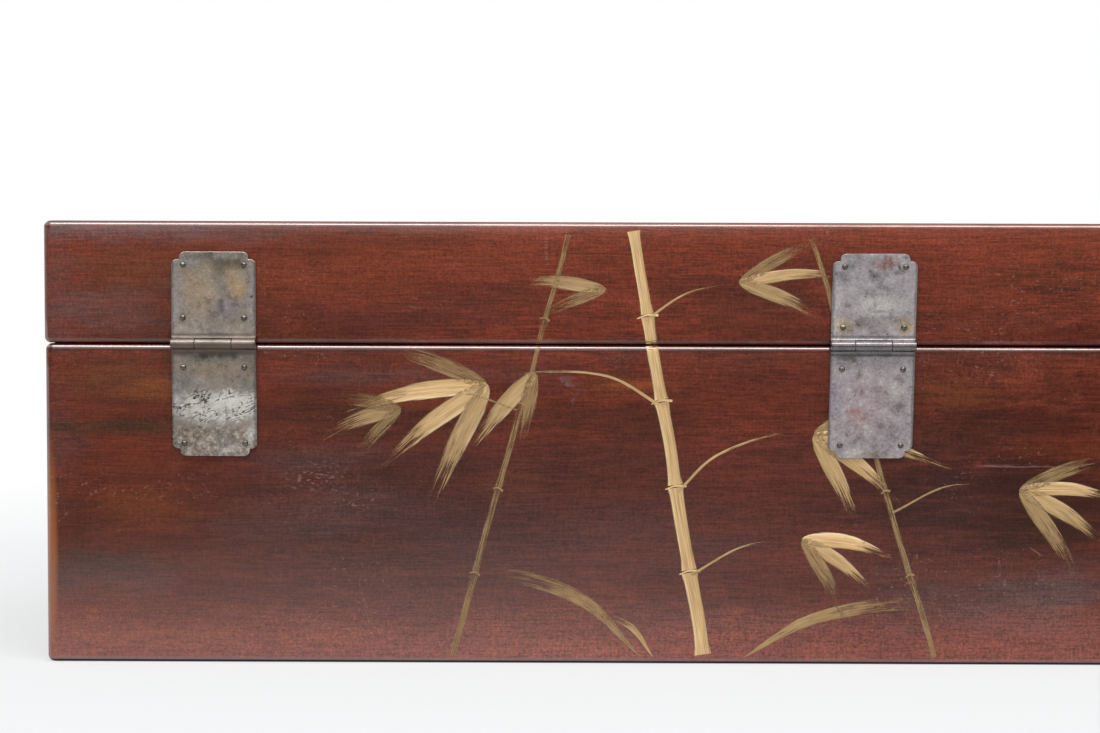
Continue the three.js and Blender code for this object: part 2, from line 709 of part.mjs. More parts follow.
for (const hinge of hinges) {
  addLeaf(lid, `${hinge.name}_upper`, hinge, true);
  addLeaf(base, `${hinge.name}_lower`, hinge, false);
  const pin = pinGeometry(pinRadius, leafWidth - 2 * runningGap, pinSides);
  sub(base, `${hinge.name}_pin`, pin, metalLook).position.set(
    hinge.x,
    backFace - hingeAxisFromWall,
    hingeAxisZ,
  );
}

// Hasp: its leaf, with the four nails that hold it, and its pin go with the lid
const leafAndNails = [
  leafGeometry(haspLeafWidth, haspLeafReach, haspKnuckleWidth, false, 0, []),
  ...haspSpots.map(([x, w]) => nailGeometry().translate(x, -(seatGap + sheetThickness), w)),
];
const haspLeaf = joinAll(leafAndNails).rotateZ(Math.PI);
sub(lid, "hasp_leaf", haspLeaf, metalLook).position.set(0, frontFace, haspAxisZ);
const haspPin = pinGeometry(pinRadius, haspLeafWidth - 2 * runningGap, pinSides);
sub(lid, "hasp_pin", haspPin, metalLook).position.set(0, frontFace + hingeAxisFromWall, haspAxisZ);
const hasp = new THREE.Group();
lid.add(hasp);
sub(hasp, "hasp", haspGeometry(), metalLook).position.set(0, frontFace, haspAxisZ);

for (const [name, x] of [["lock_lug_left", -lugX], ["lock_lug_right", lugX]]) {
  const lug = eyePinGeometry(lockAxisFromWall, lockBoreRadius, false).rotateZ(Math.PI / 2);
  sub(base, name, lug, metalLook).position.set(x, frontFace, lockAxisZ);
}

// Handles: two eye pins and a bail at each end
for (const [name, side] of [["left", -1], ["right", 1]]) {
  const turn = side > 0 ? 0 : Math.PI;
  const wallX = (side * boxLength) / 2;
  for (const [place, y] of [["back", -handleEyeY], ["front", handleEyeY]]) {
    const pin = eyePinGeometry(bailAxisFromWall, bailBoreRadius, true).rotateZ(turn);
    sub(base, `handle_${name}_eye_pin_${place}`, pin, metalLook).position.set(wallX, y, handleHeight);
  }
  const bail = new THREE.Group();
  bail.position.set(wallX + side * bailAxisFromWall, 0, handleHeight);
  base.add(bail);
  sub(bail, `handle_${name}_bail`, bailGeometry(), metalLook);
}

export default box;
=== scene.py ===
"""A long lacquered leather box, dressed round its frame in worn leather, metal, wood, paper and gold.

Metres, in the frame's own axes: X runs along the box, the hinged back faces -Y and the underside is z = 0.
"""

import json
import math
import random

import bmesh
import bpy
from mathutils import Euler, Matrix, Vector, noise
from mathutils.bvhtree import BVHTree

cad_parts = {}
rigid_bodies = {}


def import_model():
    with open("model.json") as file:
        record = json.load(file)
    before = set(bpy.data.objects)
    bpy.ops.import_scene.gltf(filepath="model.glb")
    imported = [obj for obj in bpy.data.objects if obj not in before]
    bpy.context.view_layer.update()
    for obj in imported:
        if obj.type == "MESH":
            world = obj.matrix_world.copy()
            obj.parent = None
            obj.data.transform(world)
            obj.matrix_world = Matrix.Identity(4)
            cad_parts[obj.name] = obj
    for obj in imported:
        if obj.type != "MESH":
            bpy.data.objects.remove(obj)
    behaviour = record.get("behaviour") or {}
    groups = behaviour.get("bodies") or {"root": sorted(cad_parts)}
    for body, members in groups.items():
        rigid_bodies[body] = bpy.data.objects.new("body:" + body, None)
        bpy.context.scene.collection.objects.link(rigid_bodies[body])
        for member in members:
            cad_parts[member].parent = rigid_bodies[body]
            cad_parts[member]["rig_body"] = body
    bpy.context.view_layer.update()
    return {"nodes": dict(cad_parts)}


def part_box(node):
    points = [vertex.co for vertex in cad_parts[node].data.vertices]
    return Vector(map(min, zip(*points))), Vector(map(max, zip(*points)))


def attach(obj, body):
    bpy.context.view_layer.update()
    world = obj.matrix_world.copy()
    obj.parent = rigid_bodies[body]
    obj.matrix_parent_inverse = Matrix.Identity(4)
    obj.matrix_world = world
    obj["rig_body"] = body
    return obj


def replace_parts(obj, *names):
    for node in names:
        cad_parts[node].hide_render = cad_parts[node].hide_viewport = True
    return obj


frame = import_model()
mm = 0.001

# Places and sizes taken from the frame
base_low, base_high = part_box("base_wall_leather")
lid_low, lid_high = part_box("lid_leather")
back_y = base_low.y
rim_z = base_high.z
lid_rim_z = lid_low.z
lid_top_z = lid_high.z
hinge_names = ["hinge_left", "hinge_centre", "hinge_right"]
hinge_x = {name: sum(c.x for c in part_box(f"{name}_pin")) / 2 for name in hinge_names}
hinge_z = sum(c.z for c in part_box("hinge_left_pin")) / 2

# The photograph's frame, its scale at the hinged face, and where its camera stood and looked
photo_width = 1100
metres_per_pixel = 0.5507 * mm
camera_distance = 1.2
camera_from_left_end = 282.7 * mm
camera_height = 224.8 * mm
camera_pitch = math.radians(2.84)
camera_yaw = math.radians(0.166)
camera_roll = math.radians(0.188)
sensor_width = 0.036

# Leather: the same sheet sizes as the frame's, with more rounds and a slightly uneven surface
leather_thickness = 2 * mm
lap_thickness = 1 * mm
lap_depth = 14 * mm
under_lap = 14 * mm
rim_inset = 13.4 * mm
corner_radius = 5.5 * mm
edge_radius = 3.5 * mm
rim_radius = 3 * mm
rim_inner_radius = 0.6 * mm
least_radius = 0.8 * mm
uneven_depth = 0.22 * mm
lid_sag = 0.25 * mm
sag_middle = -100 * mm


# Nodes

class Value:
    """A socket's output. Python's operators on it add Math nodes."""

    def __init__(self, finish, socket):
        self.finish = finish
        self.socket = socket

    def joined(self, operation, first, second=0.0):
        return self.finish.node("ShaderNodeMath", {"operation": operation}, {0: first, 1: second})

    def __add__(self, other):
        return self.joined("ADD", self, other)

    def __radd__(self, other):
        return self.joined("ADD", other, self)

    def __sub__(self, other):
        return self.joined("SUBTRACT", self, other)

    def __rsub__(self, other):
        return self.joined("SUBTRACT", other, self)

    def __mul__(self, other):
        return self.joined("MULTIPLY", self, other)

    def __rmul__(self, other):
        return self.joined("MULTIPLY", other, self)

    def __abs__(self):
        return self.joined("ABSOLUTE", self)


class Finish:
    """A node tree and the few nodes that every finish here is painted with."""

    def __init__(self, tree):
        self.tree = tree
        tree.nodes.clear()

    def node(self, kind, settings=None, inputs=None, output=0):
        made = self.tree.nodes.new(kind)
        for name, setting in (settings or {}).items():
            setattr(made, name, setting)
        for key, given in (inputs or {}).items():
            if isinstance(given, Value):
                self.tree.links.new(given.socket, made.inputs[key])
            else:
                made.inputs[key].default_value = given
        return Value(self, made.outputs[output]) if len(made.outputs) else None

    def place(self):
        return self.node("ShaderNodeTexCoord", output="Object")

    def part_of(self, vector, axis):
        return self.node("ShaderNodeSeparateXYZ", None, {0: vector}, "XYZ".index(axis))

    def along(self, axis):
        return self.part_of(self.place(), axis)

    def facing(self, axis):
        return self.part_of(self.node("ShaderNodeTexCoord", output="Normal"), axis)

    def scaled(self, vector, factors):
        return self.node("ShaderNodeVectorMath", {"operation": "MULTIPLY"}, {0: vector, 1: factors})

    def grain(self, scale, stretch=(1, 1, 1), detail=3.0, rough=0.5, twist=0.0, vector=None):
        """Noise of about `scale` lumps a metre, drawn out where a stretch factor is under 1."""
        inputs = {
            "Vector": self.scaled(vector or self.place(), stretch),
            "Scale": scale,
            "Detail": detail,
            "Roughness": rough,
            "Distortion": twist,
        }
        return self.node("ShaderNodeTexNoise", None, inputs)

    def drawn(self, across, stretch):
        """The place, drawn out along X, or along Y where across is 1."""
        along_x = self.scaled(self.place(), (stretch, 1, 1))
        along_y = self.scaled(self.place(), (1, stretch, 1))
        return self.node("ShaderNodeMix", {"data_type": "VECTOR"}, {0: across, 4: along_x, 5: along_y}, 1)

    def ease(self, value, low, high):
        """0 below low and 1 above high, or the other way round where low is the larger."""
        settings = {"interpolation_type": "SMOOTHSTEP"}
        rising = low < high
        span = {1: low, 2: high, 3: 0.0, 4: 1.0} if rising else {1: high, 2: low, 3: 1.0, 4: 0.0}
        return self.node("ShaderNodeMapRange", settings, {0: value, **span})

    def between(self, value, outer_low, inner_low, inner_high, outer_high):
        """1 between the two inner bounds, easing to 0 at the outer ones."""
        return self.ease(value, outer_low, inner_low) * self.ease(value, outer_high, inner_high)

    def mix(self, first, second, share):
        return self.node("ShaderNodeMix", {"data_type": "RGBA"}, {0: share, 6: first, 7: second}, 2)

    def over(self, ground, *layers):
        """A colour with (tint, share) layers laid over it one after another."""
        for tint, share in layers:
            ground = self.mix(ground, tint, share)
        return ground

    def shade(self, colour, level):
        """A colour made lighter or darker by a value round 1."""
        grey = self.node("ShaderNodeCombineXYZ", None, {0: level, 1: level, 2: level})
        return self.node("ShaderNodeVectorMath", {"operation": "MULTIPLY"}, {0: colour, 1: grey})

    def patch(self, centre, radii, soft=0.75, ragged=None):
        """1 at an ellipsoid's centre, easing to 0 at its surface. A ragged value breaks its outline."""
        away = self.node("ShaderNodeVectorMath", {"operation": "SUBTRACT"}, {0: self.place(), 1: centre})
        shares = self.scaled(away, [1 / radius for radius in radii])
        length = self.node("ShaderNodeVectorMath", {"operation": "LENGTH"}, {0: shares}, 1)
        return self.ease(length + ragged if ragged else length, 1.0, 1.0 - soft)

    def held(self, value):
        """The value kept between 0 and 1."""
        return self.node("ShaderNodeClamp", None, {0: value})

    def bump(self, height, distance, strength=1.0, under=None):
        inputs = {"Strength": strength, "Distance": distance, "Height": height}
        if under:
            inputs["Normal"] = under
        return self.node("ShaderNodeBump", None, inputs)

    def done(self, shader):
        self.node("ShaderNodeOutputMaterial", None, {"Surface": shader})


def colour(red, green, blue):
    return (red, green, blue, 1.0)


def new_finish(name):
    material = bpy.data.materials.new(name)
    material.use_nodes = True
    return material, Finish(material.node_tree)


def surfaced(material, f, inputs):
    """The material, with a Principled shader that has these inputs."""
    f.done(f.node("ShaderNodeBsdfPrincipled", None, inputs))
    return material


# Leather finish

lacquer_red = colour(0.118, 0.023, 0.0105)
bright_red = colour(0.185, 0.036, 0.013)
deep_brown = colour(0.060, 0.017, 0.009)
near_black = colour(0.034, 0.007, 0.003)
maroon = colour(0.072, 0.019, 0.014)
tan_brown = colour(0.120, 0.044, 0.018)
orange_brown = colour(0.235, 0.066, 0.016)
olive_dark = colour(0.047, 0.027, 0.013)
# Grey bloom on the lacquer, also laid on as painted reflection haze.
bloom_and_reflection_grey = colour(0.120, 0.065, 0.062)
rose_floor_reflection = colour(0.285, 0.082, 0.063)
ruddy_red = colour(0.215, 0.036, 0.019)
warm_red = colour(0.215, 0.044, 0.016)
strand_red = colour(0.200, 0.030, 0.013)
dim_red = colour(0.080, 0.013, 0.004)
foot_rose_reflection = colour(0.22, 0.10, 0.09)
middle_reflection_haze = colour(0.100, 0.043, 0.040)
ember_red = colour(0.30, 0.080, 0.040)
glint_orange = colour(0.44, 0.120, 0.045)
smut_grey = colour(0.080, 0.058, 0.050)
scuffed_tan = colour(0.25, 0.085, 0.032)
painted_glint_pink = colour(0.34, 0.20, 0.17)
hairline_tan = colour(0.30, 0.15, 0.08)
sole_grey = colour(0.23, 0.145, 0.150)
shadow_black = colour(0.010, 0.006, 0.007)
brow_black = colour(0.030, 0.012, 0.010)

# Where the leather changes: off the left end along X, and down towards the foot along Z
off_left_span = (-430 * mm, -240 * mm)
low_span = (44 * mm, 2 * mm)
foot_span = (46 * mm, 8 * mm)

# Tints on the hinged back: middle along X and Z, half sizes, colour and how much of it, in millimetres
back_tints = [
    ((-415, 197), (48, 22), bloom_and_reflection_grey, 0.42),
    ((-408, 218), (52, 22), tan_brown, 0.50),
    ((-420, 238), (150, 11), bloom_and_reflection_grey, 0.80),
    ((-455, 205), (34, 60), bloom_and_reflection_grey, 0.42),
    ((-455, 120), (28, 70), bloom_and_reflection_grey, 0.34),
    ((-300, 214), (80, 24), bright_red, 0.55),
    ((-215, 222), (110, 16), bright_red, 0.60),
    ((-250, 192), (120, 14), maroon, 0.45),
    ((-60, 202), (120, 22), deep_brown, 0.40),
    ((95, 214), (90, 32), bright_red, 0.25),
    ((118, 212), (70, 30), deep_brown, 0.80),
    ((100, 190), (80, 12), maroon, 0.45),
    ((-418, 158), (52, 20), tan_brown, 0.50),
    ((-392, 152), (34, 10), orange_brown, 0.38),
    ((-415, 132), (62, 7), olive_dark, 0.80),
    ((-404, 88), (44, 22), orange_brown, 0.34),
    ((-440, 80), (22, 50), deep_brown, 0.45),
    ((-418, 46), (70, 20), bloom_and_reflection_grey, 0.50),
    ((-420, 56), (52, 13), olive_dark, 0.40),
    ((-275, 160), (120, 9), bloom_and_reflection_grey, 0.30),
    ((-240, 136), (210, 15), deep_brown, 0.62),
    ((-130, 155), (34, 6), orange_brown, 0.50),
    ((-306, 114), (50, 14), bloom_and_reflection_grey, 0.42),
    ((-290, 86), (80, 22), bloom_and_reflection_grey, 0.62),
    ((-160, 74), (130, 24), bloom_and_reflection_grey, 0.30),
    ((-190, 112), (150, 16), maroon, 0.45),
    ((-210, 78), (120, 28), maroon, 0.70),
    ((30, 96), (90, 40), near_black, 0.62),
    ((96, 92), (120, 46), near_black, 0.97),
    ((60, 92), (70, 34), near_black, 0.75),
    ((95, 140), (110, 22), near_black, 0.62),
    ((48, 150), (34, 12), orange_brown, 0.30),
    ((118, 122), (62, 10), bright_red, 0.50),
    ((112, 88), (56, 34), deep_brown, 0.55),
    ((-20, 118), (90, 16), maroon, 0.50),
    ((96, 42), (110, 22), bloom_and_reflection_grey, 0.85),
    # Painted floor reflection: a rose patch at the foot.
    ((96, 24), (90, 16), foot_rose_reflection, 0.50),
    ((-70, 24), (120, 16), bloom_and_reflection_grey, 0.35),
    ((122, 10), (42, 12), orange_brown, 0.30),
    ((-190, 10), (90, 12), orange_brown, 0.50),
    ((-380, 12), (90, 12), orange_brown, 0.50),
    ((250, 90), (120, 34), maroon, 0.70),
    ((330, 150), (90, 20), orange_brown, 0.40),
    ((118, 150), (50, 22), deep_brown, 0.45),
    ((400, 84), (60, 30), deep_brown, 0.60),
    ((122, 158), (64, 84), dim_red, 0.60),
    ((-200, 100), (26, 14), orange_brown, 0.26),
]


def leather_finish():
    material, f = new_finish("lacquered_leather")
    level = f.along("Z")
    drawn = f.drawn(f.ease(abs(f.facing("X")), 0.6, 0.8), 0.05)
    hair = f.ease(f.grain(1000, detail=4.0, rough=0.75, vector=drawn), 0.39, 0.61)
    band = f.ease(f.grain(210, detail=4.0, rough=0.6, vector=drawn), 0.34, 0.66)
    pore = f.ease(f.grain(820, (0.8, 1, 1), detail=4.0, rough=0.8), 0.38, 0.62)
    wrinkle = f.grain(300, (0.45, 1, 1), detail=3.0, rough=0.45, twist=0.6)
    mottle = f.grain(38, (0.5, 1, 1.2), detail=6.0, rough=0.68)

    edge = leather_wear(f, level, mottle)
    off_rim = f.ease(abs(level - rim_z), 3.4 * mm, 4.4 * mm)
    scuffed = f.ease(wrinkle + edge * 0.55, 0.70, 0.95) * f.ease(edge, 0.02, 0.5) * off_rim
    # Painted shade: a band just below the base's rim, darkened by up to a third.
    shade_below_rim = f.between(level, *[rim_z - down * mm for down in (4.4, 3.2, 2.0, 1.5)])
    # Painted shade in the seam: the base's rim top, hidden under the lid, goes near-black.
    seam_gap_shade = f.ease(level, rim_z - 0.40 * mm, rim_z - 0.15 * mm)
    seam_gap_shade = seam_gap_shade * f.ease(level, lid_rim_z + 0.40 * mm, lid_rim_z + 0.15 * mm)
    # Painted contact shadow: the lowest 2 mm of the foot goes near-black.
    contact_shadow = f.ease(level, 2.0 * mm, 1.3 * mm)
    sole = f.ease(level, 4.0 * mm, 2.8 * mm) * (1 - contact_shadow)
    brow = top_arris(f, level)

    skin = lacquer(f, level, mottle, hair, band, pore)
    skin = speckled(f, skin, level, mottle)
    skin = textured(f, skin, level, hair, band, pore)
    skin = scuffs(f, skin, scuffed)
    skin = f.over(
        f.shade(skin, 1 - shade_below_rim * 0.32),
        (sole_grey, sole * (0.2 + mottle * 0.5)),
        (shadow_black, f.held(contact_shadow + seam_gap_shade * 0.8)),
        (brow_black, brow * (0.65 + mottle * 0.4)),
        *leather_marks(f, wrinkle, hair),
    )

    fine = f.bump(hair * 0.5 + pore * 0.5, 0.014 * mm)
    grained = f.bump(wrinkle, 0.15 * mm, 1.0, fine)
    dull = f.held(brow + contact_shadow + seam_gap_shade)
    polish = f.held(edge * 0.9 - scuffed * 0.3 - dull)
    sheen = 0.05 + f.ease(f.along("X"), 20 * mm, -220 * mm) * 0.20
    return surfaced(material, f, {
        "Base Color": skin,
        "Roughness": f.held(0.24 + mottle * 0.10 + dull * 0.45),
        "IOR": 1.36,
        "Coat Weight": f.held(sheen * (1 - dull) + polish * 0.85),
        "Coat Roughness": 0.09,
        "Coat IOR": 2.3,
        "Normal": f.bump(f.grain(30, (0.7, 1, 1), detail=2.0), 0.8 * mm, 0.6, grained),
    })


def lacquer(f, level, mottle, hair, band, pore):
    """The lacquer's slow changes of colour, with the tints placed on the hinged back."""
    along = f.along("X")
    cloud = f.grain(8, (0.6, 1, 1.3), detail=5.0, rough=0.6)
    torn = (mottle - 0.5) * 2.2
    off_left = f.ease(along, *off_left_span)
    low = f.ease(level, *low_span)
    upper = f.ease(level, 84 * mm, 150 * mm)
    ruddy = f.ease(mottle + pore * 0.05, 0.54, 0.68) * (0.10 + off_left * 0.30)
    skin = f.over(
        lacquer_red,
        (deep_brown, f.ease(cloud, 0.50, 0.68) * 0.7),
        (bright_red, f.ease(cloud, 0.48, 0.34) * 0.6),
        (ruddy_red, ruddy * (0.3 + upper * 0.7)),
        (maroon, f.ease(mottle + hair * 0.05, 0.51, 0.37) * (0.30 + upper * 0.20)),
    )
    skin = unseen_sides(f, skin, torn)
    for (x, z), (reach_x, reach_z), tint, share in back_tints:
        near = f.patch((x * mm, back_y, z * mm), (reach_x * mm, 40 * mm, reach_z * mm), 0.95, torn)
        skin = f.mix(skin, tint, near * share)
    warm = f.ease(level, lid_top_z - 30 * mm, lid_top_z - 4 * mm) * f.ease(along, -400 * mm, -150 * mm)
    strand = f.ease(hair, 0.55, 1.0) * f.ease(cloud, 0.56, 0.44) * (0.08 + upper * 0.32)
    middle = f.between(along, -410 * mm, -330 * mm, 40 * mm, 110 * mm)
    return f.over(
        skin,
        (warm_red, warm * 0.35),
        # Painted reflection of the pale floor: a rose tone rising towards the foot.
        (rose_floor_reflection, low * (0.42 + off_left * 0.13 + mottle * 0.40)),
        (bright_red, f.ease(band, 0.55, 0.95) * (1 - low) * 0.16),
        (strand_red, strand),
        # Painted reflection haze: greyer over the middle of the walls.
        (middle_reflection_haze, (1 - upper) * (1 - low) * middle * 0.30),
    )


def speckled(f, skin, level, mottle):
    """Embers, glints and smuts: thick towards the foot, thin elsewhere."""
    foot = f.ease(level, *foot_span)
    left_top = f.ease(f.along("X"), -300 * mm, -400 * mm)
    spread = foot * f.ease(mottle, 0.45, 0.58) + left_top * 0.12 + f.ease(mottle, 0.56, 0.7) * 0.25
    spread = f.held(spread)
    ember = f.ease(f.grain(120, (0.7, 1, 1), detail=5.0, rough=0.75), 0.50, 0.60)
    glint = f.ease(f.grain(980, (0.8, 1, 1), detail=3.0, rough=0.8), 0.50, 0.64)
    smut = f.ease(f.grain(860, (0.8, 1, 1), detail=3.0, rough=0.8), 0.48, 0.36)
    return f.over(
        skin,
        (ember_red, ember * f.ease(mottle, 0.44, 0.58) * foot * 0.42),
        (glint_orange, glint * spread * 0.62),
        (smut_grey, smut * f.held(foot * 0.9 + spread * 0.2) * 0.50),
    )


def textured(f, skin, level, hair, band, pore):
    """Light and dark along the grain, strongest away from the left end, on walls that darken downwards."""
    upright = f.ease(f.grain(900, (1, 1, 0.10), detail=4.0, rough=0.75), 0.39, 0.61)
    coarse = 0.34 + f.ease(level, *foot_span) * 0.16
    texture = (hair - 0.5) * 0.30 + (band - 0.5) * 0.10 + (upright - 0.5) * 0.15 + (pore - 0.5) * coarse
    keen = 1.05 + f.ease(f.along("X"), *off_left_span) * 0.25
    off_foot = 1 - f.ease(level, *low_span)
    darker = f.ease(level, 166 * mm, 140 * mm) * 0.12 + f.ease(level, 128 * mm, 96 * mm) * off_foot * 0.12
    return f.shade(skin, (1 + texture * keen) * (1 - darker))


def scuffs(f, skin, scuffed):
    """Scuffed arrises, with clusters of pale flecks painted as glints and hairline scratches all over."""
    cluster = f.ease(f.grain(16, (0.5, 1, 1), detail=3.0), 0.54, 0.66)
    # Painted glints: small pale pink flecks, gathered in clusters.
    glint_fleck = f.ease(f.grain(620, (0.6, 1, 1), detail=1.0), 0.69, 0.73) * (0.05 + cluster * 0.95)
    hairline = f.ease(abs(f.grain(52, (0.7, 1, 1), detail=1.0, twist=2.2) - 0.5), 0.0035, 0.001)
    return f.over(
        skin,
        (scuffed_tan, scuffed * 0.35),
        (painted_glint_pink, glint_fleck * 0.32),
        (hairline_tan, hairline * cluster * 0.5),
    )


def unseen_sides(f, skin, torn):
    """Broad stains and fading on the top, the ends and the front, where no listed mark is placed."""
    away = f.ease(f.along("Y"), back_y + 2 * mm, back_y + 12 * mm)
    faded = f.ease(f.grain(5.5, detail=3.0) + torn * 0.06, 0.54, 0.66) * away
    stained = f.ease(f.grain(6.5, (1, 1, 1.4), detail=3.0, twist=0.4) - torn * 0.06, 0.52, 0.66) * away
    hazed = f.ease(f.grain(9, detail=4.0) + torn * 0.05, 0.55, 0.68) * away
    return f.over(skin, (tan_brown, faded * 0.60), (deep_brown, stained * 0.60), (bloom_and_reflection_grey, hazed * 0.32))


def top_arris(f, level):
    """1 on the lid's border just inside its top edge, which is painted near-black and dull."""
    in_from_side = base_high.y - abs(f.along("Y"))
    in_from_end = lid_high.x - abs(f.along("X"))
    inset = f.node("ShaderNodeMath", {"operation": "MINIMUM"}, {0: in_from_side, 1: in_from_end})
    inner = f.ease(inset, 5.0 * mm, 3.2 * mm)
    return inner * f.ease(level, lid_top_z - 0.95 * mm, lid_top_z - 0.55 * mm)


def leather_wear(f, level, mottle):
    """1 on the arrises that hands have polished: upright corners, top edge, rims and foot."""
    past_end = f.ease(abs(f.along("X")), base_high.x - 3.2 * mm, base_high.x - 0.6 * mm)
    past_side = f.ease(abs(f.along("Y")), base_high.y - 3.2 * mm, base_high.y - 0.6 * mm)
    upright = past_end * past_side
    base_rim = f.between(level, *[rim_z + up * mm for up in (-2.3, -1.8, 0.1, 0.3)])
    lid_rim = f.between(level, rim_z, lid_rim_z, lid_rim_z + 2.0 * mm, lid_rim_z + 3.0 * mm)
    near_side = f.ease(past_end + past_side, 0.02, 0.4)
    near_top = f.ease(level, lid_top_z - 2.8 * mm, lid_top_z - 2.2 * mm) * near_side
    near_foot = f.ease(level, 3.4 * mm, 1.0 * mm) * 0.3
    worn = (upright + base_rim + near_top) * (0.70 + f.ease(mottle, 0.36, 0.58) * 0.30)
    return f.held(worn + lid_rim * f.ease(mottle, 0.48, 0.62) * 0.35 + near_foot)


def leather_marks(f, wrinkle, streak):
    """Single marks on the hinged back, as (colour, share)."""

    def mark(x, z, reach_x, reach_z, soft):
        return f.patch((x, back_y, z), (reach_x * mm, 9 * mm, reach_z * mm), soft)

    smear = mark(-176 * mm, 151 * mm, 20, 13, 0.8) * f.ease(f.grain(95, twist=1.5), 0.52, 0.60)
    drip = mark(-180 * mm, 229 * mm, 1.3, 11, 0.8) * f.ease(streak, 0.3, 0.6)
    scratch = mark(84 * mm, 111 * mm, 42, 1.1, 0.6) * f.ease(streak, 0.4, 0.55)
    corner = mark(lid_low.x + 8 * mm, lid_top_z, 17, 7, 0.7) * f.ease(wrinkle, 0.42, 0.58)
    strip = mark(base_low.x + 3 * mm, 62 * mm, 5, 78, 0.7)
    # Painted glints: a patch of small pale pink specks.
    rubbed_and_glinting = mark(-305 * mm, 104 * mm, 24, 12, 0.9)
    rubbed_and_glinting = rubbed_and_glinting * f.ease(f.grain(700, (0.4, 1, 1), detail=2.0), 0.55, 0.66)
    return [
        (colour(0.22, 0.15, 0.17), smear * 0.5),
        (colour(0.24, 0.14, 0.13), drip * 0.5),
        (colour(0.27, 0.13, 0.12), scratch * 0.5),
        (colour(0.035, 0.016, 0.014), corner * 0.75),
        (colour(0.34, 0.105, 0.025), strip * 0.65),
        (colour(0.30, 0.19, 0.19), rubbed_and_glinting * 0.7),
    ]


# Metal finish

lilac_grey = colour(0.47, 0.43, 0.44)
warm_grey = colour(0.35, 0.285, 0.235)
cool_grey = colour(0.33, 0.31, 0.33)
aged_grey = colour(0.275, 0.225, 0.180)
tan_metal = colour(0.42, 0.32, 0.215)
brassy = colour(0.56, 0.38, 0.18)
# Pale worn metal, also used as painted highlight on upward-facing arrises.
worn_and_highlight_white = colour(0.86, 0.83, 0.76)
# Dark tarnish, also used as painted shade round the knuckles and joints, at the leaves' sides and on nail
# domes.
tarnish_and_shade = colour(0.055, 0.045, 0.038)
rust_red = colour(0.36, 0.15, 0.105)
verdigris = colour(0.20, 0.24, 0.195)
lilac = colour(0.385, 0.345, 0.37)
olive = colour(0.27, 0.240, 0.21)
# Painted shade on the knuckles' undersides.
underside_shade_brown = colour(0.15, 0.105, 0.080)
nail_grey = colour(0.22, 0.20, 0.175)
nail_dark = colour(0.10, 0.088, 0.075)

# Tints on a hinge in millimetres: how far along X and up from its axis, half sizes, colour and share
left_tints = [
    (0, 44, 26, 9, colour(0.165, 0.145, 0.120), 0.85),
    (0, 14, 26, 10, colour(0.25, 0.215, 0.19), 0.55),
    (-9, 30, 15, 20, colour(0.44, 0.335, 0.225), 0.85),
    (-4, 42, 7, 6, tan_metal, 0.45),
    (14, 31, 8, 11, brassy, 0.55),
    (9, 38, 11, 8, brassy, 0.38),
    (4, 37, 5, 12, colour(0.21, 0.185, 0.155), 0.55),
    (-21, 28, 5, 34, cool_grey, 0.55),
    (21, 24, 4, 34, cool_grey, 0.50),
    (8, 19, 13, 8, cool_grey, 0.60),
    (-14, 45, 9, 4, cool_grey, 0.60),
    (4, 21, 3, 6, tarnish_and_shade, 0.50),
    (21, 26, 1.4, 1.4, tarnish_and_shade, 0.95),
    (-6, 9, 20, 6, colour(0.36, 0.32, 0.275), 0.5),
    (0, -13, 20, 7, tan_metal, 0.40),
    (-8, -22, 18, 6, colour(0.37, 0.345, 0.325), 0.6),
    (16, -24, 8, 6, verdigris, 0.60),
    (15, -37, 4, 3, rust_red, 0.55),
    (21, -39, 4, 5, verdigris, 0.60),
    (0, -46, 24, 6, colour(0.26, 0.235, 0.20), 0.55),
    (-8, -52, 14, 7, tan_metal, 0.45),
    (6, -48, 9, 4, colour(0.20, 0.18, 0.15), 0.55),
    (21, -50, 6, 9, worn_and_highlight_white, 0.70),
    (8, -58, 14, 3, worn_and_highlight_white, 0.30),
    (-21, -30, 5, 18, cool_grey, 0.35),
    # Painted shadow under the rolled knuckles and painted shade on the fold above them.
    (0, -6.0, 28, 4.6, verdigris, 0.70),
    (0, -5.4, 28, 3.6, tarnish_and_shade, 0.80),
    (0, 4.6, 28, 1.6, tarnish_and_shade, 0.55),
    (0, 0.0, 11.0, 3.6, colour(0.19, 0.145, 0.110), 0.80),
]
centre_tints = [
    (9, 46.5, 8, 4.0, rust_red, 1.0),
    (4, 44, 6, 3.0, rust_red, 0.75),
    (14, 44, 1.5, 3, tarnish_and_shade, 0.95),
    (-15, 40, 9, 8, cool_grey, 0.60),
    (-2, 41, 1.2, 1.2, tarnish_and_shade, 0.75),
    (-17, 11, 9, 7.0, colour(0.54, 0.41, 0.26), 1.0),
    (18, 10, 8, 7.0, colour(0.52, 0.39, 0.24), 1.0),
    (4, 22, 20, 9, worn_and_highlight_white, 0.45),
    (0, 47, 24, 6, colour(0.25, 0.235, 0.235), 0.50),
    (-16, 38, 8, 6, colour(0.23, 0.22, 0.215), 0.60),
    (2, 39, 7, 5, colour(0.25, 0.24, 0.245), 0.50),
    (0, 11, 26, 6, colour(0.33, 0.27, 0.235), 0.50),
    (4, 19, 7, 1.6, tarnish_and_shade, 0.42),
    (-14, 22, 3, 2, tarnish_and_shade, 0.40),
    (0, -32, 27, 34, colour(0.44, 0.330, 0.345), 0.70),
    (-10, -36, 9, 2.0, rust_red, 0.60),
    (-8, -41, 9, 8, rust_red, 0.25),
    (12, -24, 10, 8, worn_and_highlight_white, 0.22),
    (-16, -7, 8, 2.4, tarnish_and_shade, 0.55),
    (10, -50, 12, 10, cool_grey, 0.55),
    (-20, -28, 3, 12, cool_grey, 0.55),
    (0, -60, 22, 3, tan_metal, 0.50),
    # Painted shadow under the rolled knuckles and painted shade on the fold above them.
    (0, -4.6, 28, 2.8, tarnish_and_shade, 0.55),
    (0, 4.6, 28, 1.4, tarnish_and_shade, 0.40),
    (0, 0.0, 11.0, 3.6, colour(0.27, 0.235, 0.235), 0.60),
]


